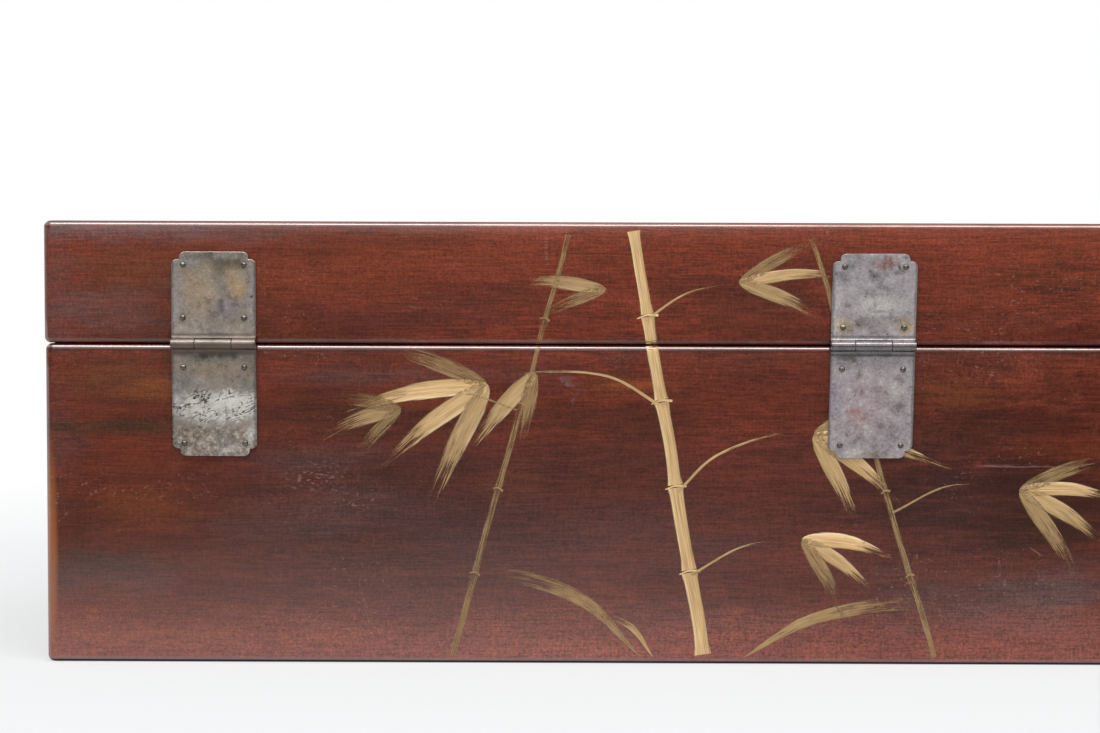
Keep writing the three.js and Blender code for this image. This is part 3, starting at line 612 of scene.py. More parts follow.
def metal_finish(name, ground, second, tints, pitting, speckled, polish=1.0, band=None, hinge=None):
    """Tarnished white brass with (middle, radii, colour, share) tints.

    The polish is how smooth it is kept, the band the middle and radii of a strip worn bright and pitted,
    and the hinge a leaf's middle along X and how far it leans.
    """
    material, f = new_finish(name)
    cloud = f.grain(40, detail=3.0, rough=0.5)
    mottle = f.grain(150, detail=5.0, rough=0.66)
    fine_mottle = f.grain(420, detail=4.0, rough=0.7)
    grit = f.ease(f.grain(950, (0.8, 1, 1), detail=2.0, rough=0.6), 0.36, 0.64)
    brushed = f.grain(1200, (0.10, 1, 1), detail=2.0)
    pit = f.grain(640, (0.7, 1, 1), detail=3.0, rough=0.65, twist=0.5)
    torn = (mottle - 0.5) * 1.6
    metal = f.mix(ground, second, f.ease(cloud, 0.42, 0.60))
    for centre, radii, tint, share in tints:
        metal = f.mix(metal, tint, f.patch(centre, radii, 0.9, torn) * share)
    dark = f.ease(mottle, 0.46, 0.33) * speckled + f.ease(fine_mottle, 0.44, 0.32) * speckled * 0.8
    worn = f.ease(mottle, 0.57, 0.72) * 0.25 + f.ease(fine_mottle, 0.56, 0.68) * 0.28
    worn = worn * (0.4 + 0.6 * polish)
    holes = f.ease(pit, 0.655, 0.70) * f.ease(cloud, 0.42, 0.56) * pitting
    if band:
        rubbed_and_glinting = f.patch(*band, 0.5, torn)
        below = f.ease(f.along("Z"), band[0][2] - 9 * mm, band[0][2] - 13 * mm)
        dark = (dark + f.ease(fine_mottle, 0.49, 0.41) * below * 0.34) * (1 - rubbed_and_glinting * 0.75)
        worn = worn + f.ease(fine_mottle, 0.51, 0.60) * below * 0.30
        scratch = f.grain(700, (1, 1, 0.14), detail=2.0)
        worn = worn + rubbed_and_glinting * f.ease(mottle * 0.7 + scratch * 0.3, 0.36, 0.48) * 0.95
        holes = holes + slanting_cuts(f) * f.ease(pit, 0.42, 0.50) * rubbed_and_glinting
    metal = f.over(metal, (worn_and_highlight_white, f.held(worn)), (tarnish_and_shade, f.held(dark + holes)))
    level = f.ease(cloud, 0.34, 0.66) * 0.22 + f.ease(mottle, 0.34, 0.66) * 0.22 + grit * 0.22
    metal = f.shade(metal, 0.68 + (level + brushed * 0.10))
    rough = 0.36 + mottle * 0.16 + dark * 0.3 - worn * 0.08
    height = brushed * 0.2 + grit * 0.15
    if hinge:
        # Painted shade along both sides of each leaf.
        metal = f.mix(metal, tarnish_and_shade, leaf_side_shade(f, mottle, *hinge) * 0.55)
        metal, rough, height = knuckled(f, metal, rough, height, ground, polish)
    return surfaced(material, f, {
        "Base Color": metal,
        "Metallic": 0.78,
        "Roughness": f.held(rough),
        "Normal": f.bump(height - f.held(holes) * 1.2, 0.05 * mm, 0.6, uneven_metal(f)),
    })


def slanting_cuts(f):
    """1 along thin, broken cuts that slant across a leaf."""
    slant = (0.0, math.radians(24), 0.0)
    slanted = f.node("ShaderNodeMapping", None, {"Vector": f.place(), "Rotation": slant})
    cut = f.grain(190, (0.36, 1, 1.6), detail=2.0, rough=0.5, twist=1.2, vector=slanted)
    return f.ease(abs(cut - 0.5), 0.050, 0.022)


def leaf_side_shade(f, mottle, middle, lean):
    """1 at a leaf's two sides, which are painted dark as shade."""
    half = 23.3 * mm
    out = abs(f.along("X") - middle - (f.along("Z") - hinge_z) * lean)
    return f.ease(out + (mottle - 0.5) * 5 * mm, half - 1.8 * mm, half - 0.4 * mm)


def knuckled(f, metal, rough, height, ground, polish):
    """Colour, roughness and height round the rolled knuckles: darker over them, with a painted highlight on
    upward-facing arrises away from them and painted shade in the crease above them and on their undersides.
    """
    above = f.along("Z") - hinge_z
    off_leaf = f.ease(f.along("Y"), back_y - 1 * mm, back_y - 1.4 * mm)
    knuckles = f.ease(abs(above), 6.5 * mm, 5.0 * mm) * off_leaf
    arris = f.ease(f.facing("Z"), 0.25, 0.6) * (1 - f.ease(abs(above), 9 * mm, 7 * mm))
    crease = f.between(above, 2.3 * mm, 2.9 * mm, 3.7 * mm, 4.3 * mm)
    shaded_underside = knuckles * f.ease(f.facing("Z"), 0.25, -0.25) * (1 - polish)
    # Painted highlight: pale metal on upward-facing arrises.
    metal = f.over(metal, (worn_and_highlight_white, arris * 0.75), (ground, knuckles * 0.4))
    metal = f.shade(metal, 1 - knuckles * (0.34 + 0.24 * polish))
    # Painted shade in the crease above the knuckles.
    metal = f.shade(metal, 1 - crease * (1 - polish) * 0.50)
    # Painted shade on the knuckles' undersides, facing down.
    metal = f.mix(metal, underside_shade_brown, shaded_underside * 0.75)
    rough = rough - knuckles * (0.10 + 0.10 * polish) + shaded_underside * 0.25
    return metal, rough, height * (1 - knuckles * 0.85)


def uneven_metal(f):
    """Hammered sheet: low, smooth dents of two sizes."""
    dents = f.grain(260, detail=2.0, rough=0.4)
    return f.bump(dents, 0.09 * mm, 0.7, f.bump(f.grain(60, detail=1.0), 0.7 * mm, 0.35))


def on_hinge(name, along, up, reach_x, reach_z):
    """The middle and radii of a patch on a hinge, from its place and half sizes in millimetres."""
    middle = (hinge_x[name] + along * mm, back_y - 1 * mm, hinge_z + up * mm)
    return middle, (reach_x * mm, 14 * mm, reach_z * mm)


def hinge_finish(name, ground, second, tints, pitting, speckled, lean=0.0, polish=1.0, band=None):
    placed = [(*on_hinge(name, *place), tint, share) for *place, tint, share in tints]
    hinge = (hinge_x[name], lean)
    return metal_finish(f"{name}_metal", ground, second, placed, pitting, speckled, polish, band, hinge)


def hinge_finishes():
    band = on_hinge("hinge_left", 4, -35, 33, 12.5)
    settings = {
        "hinge_left": (warm_grey, olive, left_tints, 0.2, 0.30, 0.0, 0.15, band),
        "hinge_centre": (lilac_grey, lilac, centre_tints, 1.0, 0.42, 0.0215),
        "hinge_right": (warm_grey, lilac_grey, (), 0.6, 0.4),
    }
    return {name: hinge_finish(name, *given) for name, given in settings.items()}


def hasp_tints():
    """Dark round the hasp leaf's four studs, with painted shade along both sides of its joint, paler where
    a hand lifts the hasp.
    """
    _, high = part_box("hasp_leaf")
    axis_z = sum(corner.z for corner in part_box("hasp_pin")) / 2
    tongue_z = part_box("hasp")[0].z + 14 * mm

    def tint(x, z, reach_x, reach_z, shade, share):
        middle = (x * mm, base_high.y + 2 * mm, z)
        return middle, (reach_x * mm, 6 * mm, reach_z * mm), shade, share

    tints = [
        # Painted shade below and above the hasp's joint.
        tint(0, axis_z - 4.6 * mm, 20, 2.2, tarnish_and_shade, 0.75),
        tint(0, axis_z + 5.0 * mm, 20, 1.6, tarnish_and_shade, 0.60),
        tint(-5, high.z - 9 * mm, 12, 7, tan_metal, 0.60),
        tint(7, axis_z - 14 * mm, 11, 9, cool_grey, 0.60),
        tint(0, tongue_z, 5, 12, worn_and_highlight_white, 0.35),
    ]
    for x in (-10.6, 10.6):
        for height in (axis_z + 12 * mm, high.z - 7 * mm):
            tints.append(tint(x, height, 3.4, 3.4, tarnish_and_shade, 0.70))
    return tints


def nail_finish():
    material, f = new_finish("nail_heads")
    mottle = f.grain(700, detail=3.0, rough=0.6)
    metal = f.mix(nail_grey, nail_dark, f.ease(mottle, 0.42, 0.62))
    # Painted shade: each dome darkened where it turns away from facing straight out.
    metal = f.mix(metal, tarnish_and_shade, f.ease(abs(f.facing("Y")), 0.86, 0.55) * 0.85)
    return surfaced(material, f, {
        "Base Color": metal,
        "Metallic": 0.9,
        "Roughness": 0.24 + mottle * 0.16,
        "Normal": f.bump(mottle, 0.15 * mm, 0.4),
    })


# Wood, paper and gold finishes

pale_wood = colour(0.36, 0.20, 0.09)
dark_wood = colour(0.20, 0.095, 0.038)
wood_stain = colour(0.12, 0.052, 0.024)
pale_paper = colour(0.50, 0.385, 0.225)
brown_paper = colour(0.43, 0.31, 0.165)
fox_brown = colour(0.30, 0.17, 0.08)
rich_gold = colour(0.86, 0.58, 0.29)
thin_gold = colour(0.54, 0.34, 0.145)
bright_edge = colour(1.0, 0.77, 0.46)
shaded_edge = colour(0.30, 0.19, 0.07)
worn_gold = colour(0.27, 0.175, 0.07)


def wood_finish():
    material, f = new_finish("aged_wood")
    across_end = f.ease(abs(f.facing("X")), 0.6, 0.8)
    ring = f.grain(60, detail=5.0, rough=0.6, twist=0.4, vector=f.drawn(across_end, 0.06))
    fibre = f.grain(1600, detail=2.0, vector=f.drawn(across_end, 0.03))
    cloud = f.grain(14, (0.5, 1, 1), detail=3.0)
    wood = f.mix(pale_wood, dark_wood, f.ease(ring, 0.38, 0.62))
    wood = f.mix(wood, wood_stain, f.ease(cloud, 0.55, 0.75) * 0.5)
    return surfaced(material, f, {
        "Base Color": f.shade(wood, 0.80 + fibre * 0.40),
        "Roughness": 0.62 + fibre * 0.16,
        "Normal": f.bump(ring * 0.6 + fibre * 0.5, 0.12 * mm, 0.5),
    })


def paper_finish():
    material, f = new_finish("lining_paper")
    cloud = f.grain(11, detail=5.0, rough=0.6)
    fibre = f.grain(520, (0.35, 1, 1), detail=4.0, rough=0.7, twist=1.2)
    fox = f.ease(f.grain(55, detail=3.0), 0.66, 0.74)
    paper = f.mix(pale_paper, brown_paper, f.ease(cloud, 0.38, 0.66))
    paper = f.mix(paper, fox_brown, fox * 0.32)
    return surfaced(material, f, {
        "Base Color": f.shade(paper, 0.86 + fibre * 0.28),
        "Roughness": 0.82 + fibre * 0.1,
        "Normal": f.bump(fibre + cloud, 0.2 * mm, 0.45),
    })


brush_layers = ("along", "across", "edge", "reach", "tone")


def gold_finish():
    """Brushed-on gold, streaked by what each stroke carries in its layers."""
    material, f = new_finish("gold_brushwork")
    material.surface_render_method = "DITHERED"

    def carried(name):
        return f.node("ShaderNodeAttribute", {"attribute_name": name}, None, 2)

    along, across, edge, reach, tone = [carried(name) for name in brush_layers]

    def brush_noise(lengthways, sideways, settings):
        place = f.node("ShaderNodeCombineXYZ", None, {0: along * lengthways, 1: across * sideways})
        return f.node("ShaderNodeTexNoise", None, {"Vector": place, "Scale": 1.0, **settings})

    hair = brush_noise(0.035, 2.1, {"Detail": 3.0, "Roughness": 0.6})
    pool = brush_noise(0.10, 0.4, {"Detail": 2.0})
    dry = f.ease(reach, 0.25, 1.0) * 0.46 + tone * 0.30
    laid = f.ease(hair + pool * 0.25 - dry, 0.20, 0.42)
    ragged = f.ease(abs(edge) + (hair - 0.5) * 0.45, 1.0, 0.82)
    ink = f.over(
        rich_gold,
        (thin_gold, f.ease(hair, 0.40, 0.62)),
        # Painted highlight on one edge of each stroke and painted shade on the other.
        (bright_edge, f.ease(edge, 0.45, 0.90) * (1 - tone) * 0.80),
        (shaded_edge, f.ease(edge, -0.35, -0.95) * 0.5),
        (worn_gold, tone * 0.85),
    )
    return surfaced(material, f, {
        "Base Color": f.shade(ink, 0.86 + pool * 0.36),
        "Metallic": 0.25,
        "Roughness": 0.46 + hair * 0.1,
        "Alpha": laid * ragged * (0.97 - tone * 0.42),
        "Normal": f.bump(hair, 0.06 * mm, 0.5),
    })


# Meshes

def add_object(name, mesh, finish, body):
    piece = bpy.data.objects.new(name, mesh)
    bpy.context.scene.collection.objects.link(piece)
    mesh.materials.clear()
    mesh.materials.append(finish)
    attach(piece, body)
    return piece


def mesh_of(name, points, faces, smooth_angle):
    mesh = bpy.data.meshes.new(name)
    mesh.from_pydata(points, [], faces)
    mesh.validate()
    work = bmesh.new()
    work.from_mesh(mesh)
    bmesh.ops.recalc_face_normals(work, faces=work.faces)
    work.to_mesh(mesh)
    work.free()
    smooth(mesh, smooth_angle)
    return mesh


def smooth(mesh, angle):
    for face in mesh.polygons:
        face.use_smooth = True
    mesh.set_sharp_from_angle(angle=math.radians(angle))


# Leather shells

# Steps round a ring's corners and along its sides, and up a profile's bends and straight walls
corner_steps, long_steps, short_steps = 8, 72, 30
edge_steps, rim_steps, rim_inner_steps, inner_edge_steps = 7, 6, 3, 4
base_wall_steps, lid_wall_steps, lid_top_steps = 14, 6, 13

# Edges sharper than these angles in degrees stay sharp
leather_smooth, metal_smooth, floor_smooth = 50, 60, 30


def ring_points(length, depth, inset, z):
    """A level ring round the box, rounded at its four corners."""
    radius = max(corner_radius - inset, least_radius)
    reach_x, reach_y = length / 2 - inset - radius, depth / 2 - inset - radius
    corners = [(1, 1), (-1, 1), (-1, -1), (1, -1)]

    def corner_point(corner, quarters):
        side_x, side_y = corners[corner % 4]
        angle = quarters * math.pi / 2
        x = side_x * reach_x + radius * math.cos(angle)
        y = side_y * reach_y + radius * math.sin(angle)
        return Vector((x, y, z))

    points = []
    for corner in range(4):
        points += [corner_point(corner, corner + step / corner_steps) for step in range(corner_steps + 1)]
        last, first = points[-1], corner_point(corner + 1, corner + 1)
        steps = short_steps if corner % 2 else long_steps
        points += [last.lerp(first, step / steps) for step in range(1, steps)]
    return points


def arc(inset, z, radius, start, end, steps):
    """Profile points round a quarter or so, from one angle to another in degrees, ends included."""
    angles = [math.radians(start + (end - start) * step / steps) for step in range(steps + 1)]
    return [(inset + radius * math.cos(angle), z + radius * math.sin(angle)) for angle in angles]


def run(start, end, steps):
    """Profile points along a straight stretch, its ends left out."""
    shares = [step / steps for step in range(1, steps)]
    return [(start[0] + (end[0] - start[0]) * s, start[1] + (end[1] - start[1]) * s) for s in shares]


def shell_mesh(name, length, depth, outer, inner, closed):
    """Rings along the outer profile, made uneven, then along the inner one. Open ends are capped."""
    rings = [ring_points(length, depth, inset, z) for inset, z in outer + inner]
    count = len(rings[0])
    for ring in rings[: len(outer)]:
        for point in ring:
            sink(point, depth)
    points = [point for ring in rings for point in ring]
    faces = []
    for here in range(len(rings) if closed else len(rings) - 1):
        there = (here + 1) % len(rings)
        for i in range(count):
            j = (i + 1) % count
            faces.append((here * count + i, here * count + j, there * count + j, there * count + i))
    if not closed:
        last = (len(rings) - 1) * count
        faces.append(tuple(range(count)))
        faces.append(tuple(range(last, last + count)))
    return mesh_of(name, points, faces, leather_smooth)


def sink(point, depth):
    """Moves a point of the leather's outside slightly in, more in some places than others."""
    slow = noise.noise(point * 13) * 0.6 + noise.noise(point * 31) * 0.4
    sunk = uneven_depth * min(1.0, max(0.0, 0.5 + slow))
    along_lid = (point.x - sag_middle) / (lid_high.x - sag_middle)
    rise = max(0.0, (point.z - lid_rim_z) / (lid_top_z - lid_rim_z))
    point.z -= lid_sag * (1 - along_lid ** 2) * rise ** 2
    if abs(abs(point.y) - depth / 2) < edge_radius:
        point.y -= math.copysign(sunk, point.y)
    elif point.z > lid_top_z - edge_radius:
        point.z -= sunk
    else:
        point.x -= math.copysign(sunk, point.x)


def turned_in(rim, way):
    """The inner profile of a lap turned in at a rim, its wall below the rim for -1 and above it for 1."""
    lap_z, sheet_z = rim + way * lap_depth, rim + way * leather_thickness
    lap_inset = rim_inset - lap_thickness
    return [(rim_inset, lap_z), (lap_inset, lap_z), (lap_inset, sheet_z), (leather_thickness, sheet_z)]


def base_leather(finish):
    length, depth = base_high.x - base_low.x, base_high.y - base_low.y
    rim_in_centre = (rim_inset - rim_inner_radius, rim_z - rim_inner_radius)
    foot = arc(edge_radius, edge_radius, edge_radius, 270, 180, edge_steps)
    rim = arc(rim_radius, rim_z - rim_radius, rim_radius, 180, 90, rim_steps)
    rim_in = arc(*rim_in_centre, rim_inner_radius, 90, 0, rim_inner_steps)
    outer = [(under_lap, 0), *foot, *run(foot[-1], rim[0], base_wall_steps), *rim, *rim_in]
    inner_edge = arc(edge_radius, edge_radius, edge_radius - leather_thickness, 180, 270, inner_edge_steps)
    inner = [*turned_in(rim_z, -1), *inner_edge, (under_lap, leather_thickness)]
    mesh = shell_mesh("base_leather_skin", length, depth, outer, inner, True)
    piece = add_object("base_leather_skin", mesh, finish, "base")
    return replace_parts(piece, "base_wall_leather")


def lid_leather(finish):
    length, depth = lid_high.x - lid_low.x, lid_high.y - lid_low.y
    off_middle = 8 * mm
    middle = (depth / 2 - off_middle, lid_top_z)
    edge_centre = (edge_radius, lid_top_z - edge_radius)
    rim_in_centre = (rim_inset - rim_inner_radius, lid_rim_z + rim_inner_radius)
    crown = arc(*edge_centre, edge_radius, 90, 180, edge_steps)
    rim = arc(rim_radius, lid_rim_z + rim_radius, rim_radius, 180, 270, rim_steps)
    rim_in = arc(*rim_in_centre, rim_inner_radius, 270, 360, rim_inner_steps)
    top, wall = run(middle, crown[0], lid_top_steps), run(crown[-1], rim[0], lid_wall_steps)
    outer = [middle, *top, *crown, *wall, *rim, *rim_in]
    inner_edge = arc(*edge_centre, edge_radius - leather_thickness, 180, 90, inner_edge_steps)
    inner = [*turned_in(lid_rim_z, 1), *inner_edge]
    mesh = shell_mesh("lid_leather_skin", length, depth, outer, inner, False)
    piece = add_object("lid_leather_skin", mesh, finish, "lid")
    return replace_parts(piece, "lid_leather")


# Metal and wood: the frame's own forms with their arrises eased

def eased(node, finish, width):
    """A frame piece's own form, its flat faces joined again and its sharp edges bevelled."""
    weld, flat_angle, sharp_angle = 0.001 * mm, 0.6, 38
    source = frame["nodes"][node]
    mesh = source.data.copy()
    work = bmesh.new()
    work.from_mesh(mesh)
    bmesh.ops.remove_doubles(work, verts=work.verts, dist=weld)
    bmesh.ops.dissolve_limit(work, angle_limit=math.radians(flat_angle), verts=work.verts, edges=work.edges)
    work.to_mesh(mesh)
    work.free()
    smooth(mesh, sharp_angle)
    piece = add_object(f"{node}_eased", mesh, finish, source["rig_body"])
    bevel = piece.modifiers.new("eased", "BEVEL")
    bevel.width = width
    bevel.segments = 2
    bevel.limit_method = "ANGLE"
    bevel.angle_limit = math.radians(sharp_angle)
    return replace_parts(piece, node)


def turn(sides):
    """The angles of a full turn in equal steps."""
    return [side / sides * 2 * math.pi for side in range(sides)]


def tube_faces(first, rings, sides):
    """Faces between rings of points, of which the first ring starts at the point with this number."""
    faces = []
    for ring in range(rings - 1):
        here, there = first + ring * sides, first + (ring + 1) * sides
        for side in range(sides):
            after = (side + 1) % sides
            faces.append((here + side, there + side, there + after, here + after))
    return faces


def nail_head(node, finish, body):
    """A hand-cut round head, a little out of true, on its shank."""
    low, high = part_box(node)
    seed = random.Random(node)
    centre = Vector(((low.x + high.x) / 2, low.y, (low.z + high.z) / 2))
    within = 0.97
    radius = (high.x - low.x) / 2 * within
    rise, shank_radius, shank_length = 1.2 * mm, 0.7 * mm, 2.2 * mm
    rings, sides = 8, 28
    most_tilt, oval, cut_off = 0.12, 0.03, 0.02
    tilt_x, tilt_z = seed.uniform(-most_tilt, most_tilt), seed.uniform(-most_tilt, most_tilt)
    wobble = [seed.uniform(0, 2 * math.pi) for _ in range(2)]
    points = [centre]
    for ring in range(1, rings + 1):
        lean = ring / rings * math.pi / 2
        out, back = math.sin(lean), 1 - math.cos(lean)
        for angle in turn(sides):
            uneven = 1 + oval * math.sin(2 * angle + wobble[0]) + cut_off * math.sin(3 * angle + wobble[1])
            x, z = out * radius * uneven * math.cos(angle), out * radius * uneven * math.sin(angle)
            y = back * rise + (tilt_x * x + tilt_z * z) * (1 - back)
            points.append(centre + Vector((x, y, z)))
    for depth in (rise, rise + shank_length):
        for angle in turn(sides):
            ring_point = (shank_radius * math.cos(angle), depth, shank_radius * math.sin(angle))
            points.append(centre + Vector(ring_point))
    faces = [(0, 1 + side, 1 + (side + 1) % sides) for side in range(sides)]
    faces += tube_faces(1, rings + 2, sides)
    faces.append(tuple(range(len(points) - sides, len(points))))
    mesh = mesh_of(node, points, faces, metal_smooth)
    piece = add_object(f"{node}_domed", mesh, finish, body)
    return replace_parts(piece, node)


def direction_at(path, i):
    """The direction of a path at its point number i."""
    return (path[min(i + 1, len(path) - 1)] - path[max(i - 1, 0)]).normalized()


def bent_rod(stops, bends):
    """Points from the first stop to the last, turning at each stop between within its bend's reach."""
    quarters = (0.25, 0.5, 0.75, 1)
    bend_steps = 10
    path = [stops[0]]
    for i, bend in enumerate(bends):
        before, at, after = stops[i: i + 3]
        start = at + (before - at).normalized() * bend
        end = at + (after - at).normalized() * bend
        if start != path[-1]:
            path += [path[-1].lerp(start, share) for share in quarters]
        for step in range(1, bend_steps + 1):
            t = step / bend_steps
            path.append(start * (1 - t) ** 2 + at * 2 * t * (1 - t) + end * t ** 2)
    return path + [path[-1].lerp(stops[-1], share) for share in quarters]


def bail(side, finish):
    """A forged rod, bent in a bail, its section worked slightly uneven by the hammer."""
    node = f"handle_{side}_bail"
    low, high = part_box(node)
    swell, tip_inset, upper_bend, lower_bend = 1.04, 5.2 * mm, 6 * mm, 16 * mm
    hammered, hammer_scale, sides = 0.05, 160, 20
    radius = (high.x - low.x) / 2 * swell
    middle = Vector(((low.x + high.x) / 2, 0, 0))
    axis_z, leg_y, foot_z = high.z - radius, high.y - radius, low.z + radius
    tip_y = sum(c.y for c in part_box(f"handle_{side}_eye_pin_front")) / 2 - tip_inset
    half = [(tip_y, axis_z), (leg_y, axis_z), (leg_y, foot_z)]
    stops = [Vector((0, -y, z)) for y, z in half] + [Vector((0, y, z)) for y, z in reversed(half)]
    path = bent_rod(stops, (upper_bend, lower_bend, lower_bend, upper_bend))
    points = []
    for i, at in enumerate(path):
        across = Vector((1, 0, 0))
        other = direction_at(path, i).cross(across)
        for angle in turn(sides):
            direction = across * math.cos(angle) + other * math.sin(angle)
            forged = 1 - hammered * abs(noise.noise((at + direction * radius) * hammer_scale))
            points.append(at + direction * radius * forged + middle)
    faces = tube_faces(0, len(path), sides)
    faces += [tuple(range(sides)), tuple(range(len(points) - sides, len(points)))]
    mesh = mesh_of(node, points, faces, metal_smooth)
    piece = add_object(f"{node}_forged", mesh, finish, f"{side}_bail")
    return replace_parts(piece, node)


# Gold brushwork

class Brush:
    """Collects strokes, in millimetres along X and Z of the back.

    Each is a strip of faces whose points carry their place along and across the stroke.
    """

    steps, lanes = 44, 10

    def __init__(self):
        self.points, self.faces, self.carried = [], [], []
        self.random = random.Random(7)

    def stroke(self, path, width, shape, tone, dry=1.0):
        curve = smooth_path([Vector(p) for p in path], self.steps)
        offset = self.random.uniform(0, 9000)
        first = len(self.points)
        travelled = 0.0
        for i, at in enumerate(curve):
            if i:
                travelled += (at - curve[i - 1]).length
            t = i / (len(curve) - 1)
            ahead = direction_at(curve, i)
            side = Vector((-ahead.y, ahead.x))
            half = width / 2 * shape(t)
            for lane in range(self.lanes + 1):
                edge = lane / self.lanes * 2 - 1
                self.points.append(at + side * half * edge)
                self.carried.append((travelled + offset, half * edge + offset, edge, t * dry, tone))
        row = self.lanes + 1
        for i in range(len(curve) - 1):
            for lane in range(self.lanes):
                here = first + i * row + lane
                self.faces.append((here, here + 1, here + row + 1, here + row))


def smooth_path(points, steps):
    """A Catmull-Rom curve through the points, ends included."""
    padded = [points[0] * 2 - points[1], *points, points[-1] * 2 - points[-2]]
    curve = []
    spans = len(points) - 1
    for i in range(steps + 1):
        place = min(i / steps * spans, spans - 1e-6)
        span = int(place)
        t = place - span
        a, b, c, d = padded[span: span + 4]
        squared, cubed = 2 * a - 5 * b + 4 * c - d, 3 * b - a - 3 * c + d
        curve.append(0.5 * (2 * b + (c - a) * t + squared * t ** 2 + cubed * t ** 3))
    return curve


least_breadth = 0.03


def culm_shape(t):
    """A stem's joint: nearly even, flared where the brush was pressed at both ends."""
    press = abs(2 * t - 1) ** 6
    return 0.86 + 0.22 * press


def leaf_shape(t):
    """A leaf: a short neck, a belly near the first third and a long point."""
    return max(least_breadth, (math.sin(math.pi * t ** 0.62) ** 0.85) * (1 - 0.15 * t))


def twig_shape(t):
    return 1.0 - 0.55 * t


def blade_shape(t):
    """A long grass-like leaf, fullest past its middle."""
    return max(least_breadth, math.sin(math.pi * t ** 1.15) ** 0.7)


def paint_culm(brush, foot, top, width, joints, tone):
    """A stem of several joints from foot to top, each a little out of line with the last."""
    foot, top = Vector(foot), Vector(top)
    gap, most_bow, taper = 1.6, 0.9, 0.06
    nick_reach, nick_rise, nick_width = 0.62, 1.1, 1.5
    for joint in range(joints):
        start = foot.lerp(top, joint / joints)
        end = foot.lerp(top, (joint + 1) / joints)
        along = (end - start).normalized()
        side = Vector((-along.y, along.x))
        bow = side * brush.random.uniform(-most_bow, most_bow)
        across = width * (1 - taper * joint)
        brush.stroke([start + along * gap, (start + end) / 2 + bow, end], across, culm_shape, tone, 0.45)
        if joint:
            half = side * width * nick_reach
            nick = [start - half, start + along * nick_rise, start + half]
            brush.stroke(nick, nick_width, twig_shape, max(0.0, tone - 0.2), 0.3)


def paint_leaf(brush, root, angle, length, width, droop, tone):
    """A leaf from its root at an angle in degrees from +X, bending down by droop."""
    heading = math.radians(angle)
    root = Vector(root)
    ahead = Vector((math.cos(heading), math.sin(heading)))
    middle = root + ahead * length * 0.5
    tip = root + ahead * length + Vector((0, -droop))
    brush.stroke([root, middle, tip], width, leaf_shape, tone)


def paint_spray(brush, root, angles, length, width, droop, tones):
    for angle, tone in zip(angles, tones):
        reach = length * brush.random.uniform(0.82, 1.12)
        paint_leaf(brush, root, angle, reach, width * brush.random.uniform(0.85, 1.1), droop, tone)


# Stems as foot, top, width and tone: two thin, worn ones first, so that they lie behind the main one
joints_in_stem = 5
stems = [
    ((-232, 3), (-168, 238), 4.6, 0.85),
    ((36, 3), (-34, 236), 4.2, 0.80),
    ((-92, 4), (-132, 240), 9.5, 0.22),
]

# Twigs and grasses as path, width and tone
twigs = [
    ([(-107, 96), (-86, 116), (-54, 128), (-30, 128)], 1.8, 0.35),
    ([(-117, 144), (-146, 160), (-186, 162), (-214, 154)], 1.8, 0.35),
    ([(-99, 50), (-70, 66), (-36, 70)], 1.6, 0.45),
    ([(-125, 191), (-102, 206), (-72, 212)], 1.5, 0.4),
    ([(-196, 141), (-226, 150), (-262, 142)], 1.3, 0.8),
    ([(12, 85), (44, 100), (84, 98)], 1.4, 0.6),
]
grasses = [
    ([(-128, 5), (-160, 36), (-206, 50), (-250, 44)], 9.5, 0.72),
    ([(-70, 4), (-30, 26), (26, 34), (78, 22)], 8.5, 0.6),
    ([(-120, 4), (-134, 22), (-160, 30)], 4.0, 0.5),
]

# Leaf sprays as root, angles, length, width, droop and each leaf's tone
sprays = [
    ((-32, 128), (-8, -34, -62, 24), 74, 11, 8, (0.05, 0.2, 0.4, 0.65)),
    ((-212, 155), (186, 214, 243, 158), 80, 12, 8, (0.1, 0.25, 0.45, 0.8)),
    ((-186, 162), (228, 258), 64, 10, 4, (0.4, 0.75)),
    ((-38, 70), (-4, -32, -58), 66, 10, 8, (0.0, 0.3, 0.7)),
    ((-74, 212), (8, -20, 30), 62, 8.5, 6, (0.3, 0.55, 0.8)),
    ((-260, 142), (196, 226, 170), 62, 9, 8, (0.6, 0.85, 0.9)),
    ((82, 98), (0, -28, -54, 22), 70, 10.5, 8, (0.15, 0.35, 0.6, 0.8)),
    ((-147, 208), (172, 200), 58, 8, 5, (0.55, 0.8)),
]


def paint_bamboo():
    """Bamboo laid over the seam, which cuts it."""
    brush = Brush()
    for foot, top, width, tone in stems:
        paint_culm(brush, foot, top, width, joints_in_stem, tone)
    for path, width, tone in twigs:
        brush.stroke(path, width, twig_shape, tone)
    for spray in sprays:
        paint_spray(brush, *spray)
    for path, width, tone in grasses:
        brush.stroke(path, width, blade_shape, tone)
    return brush


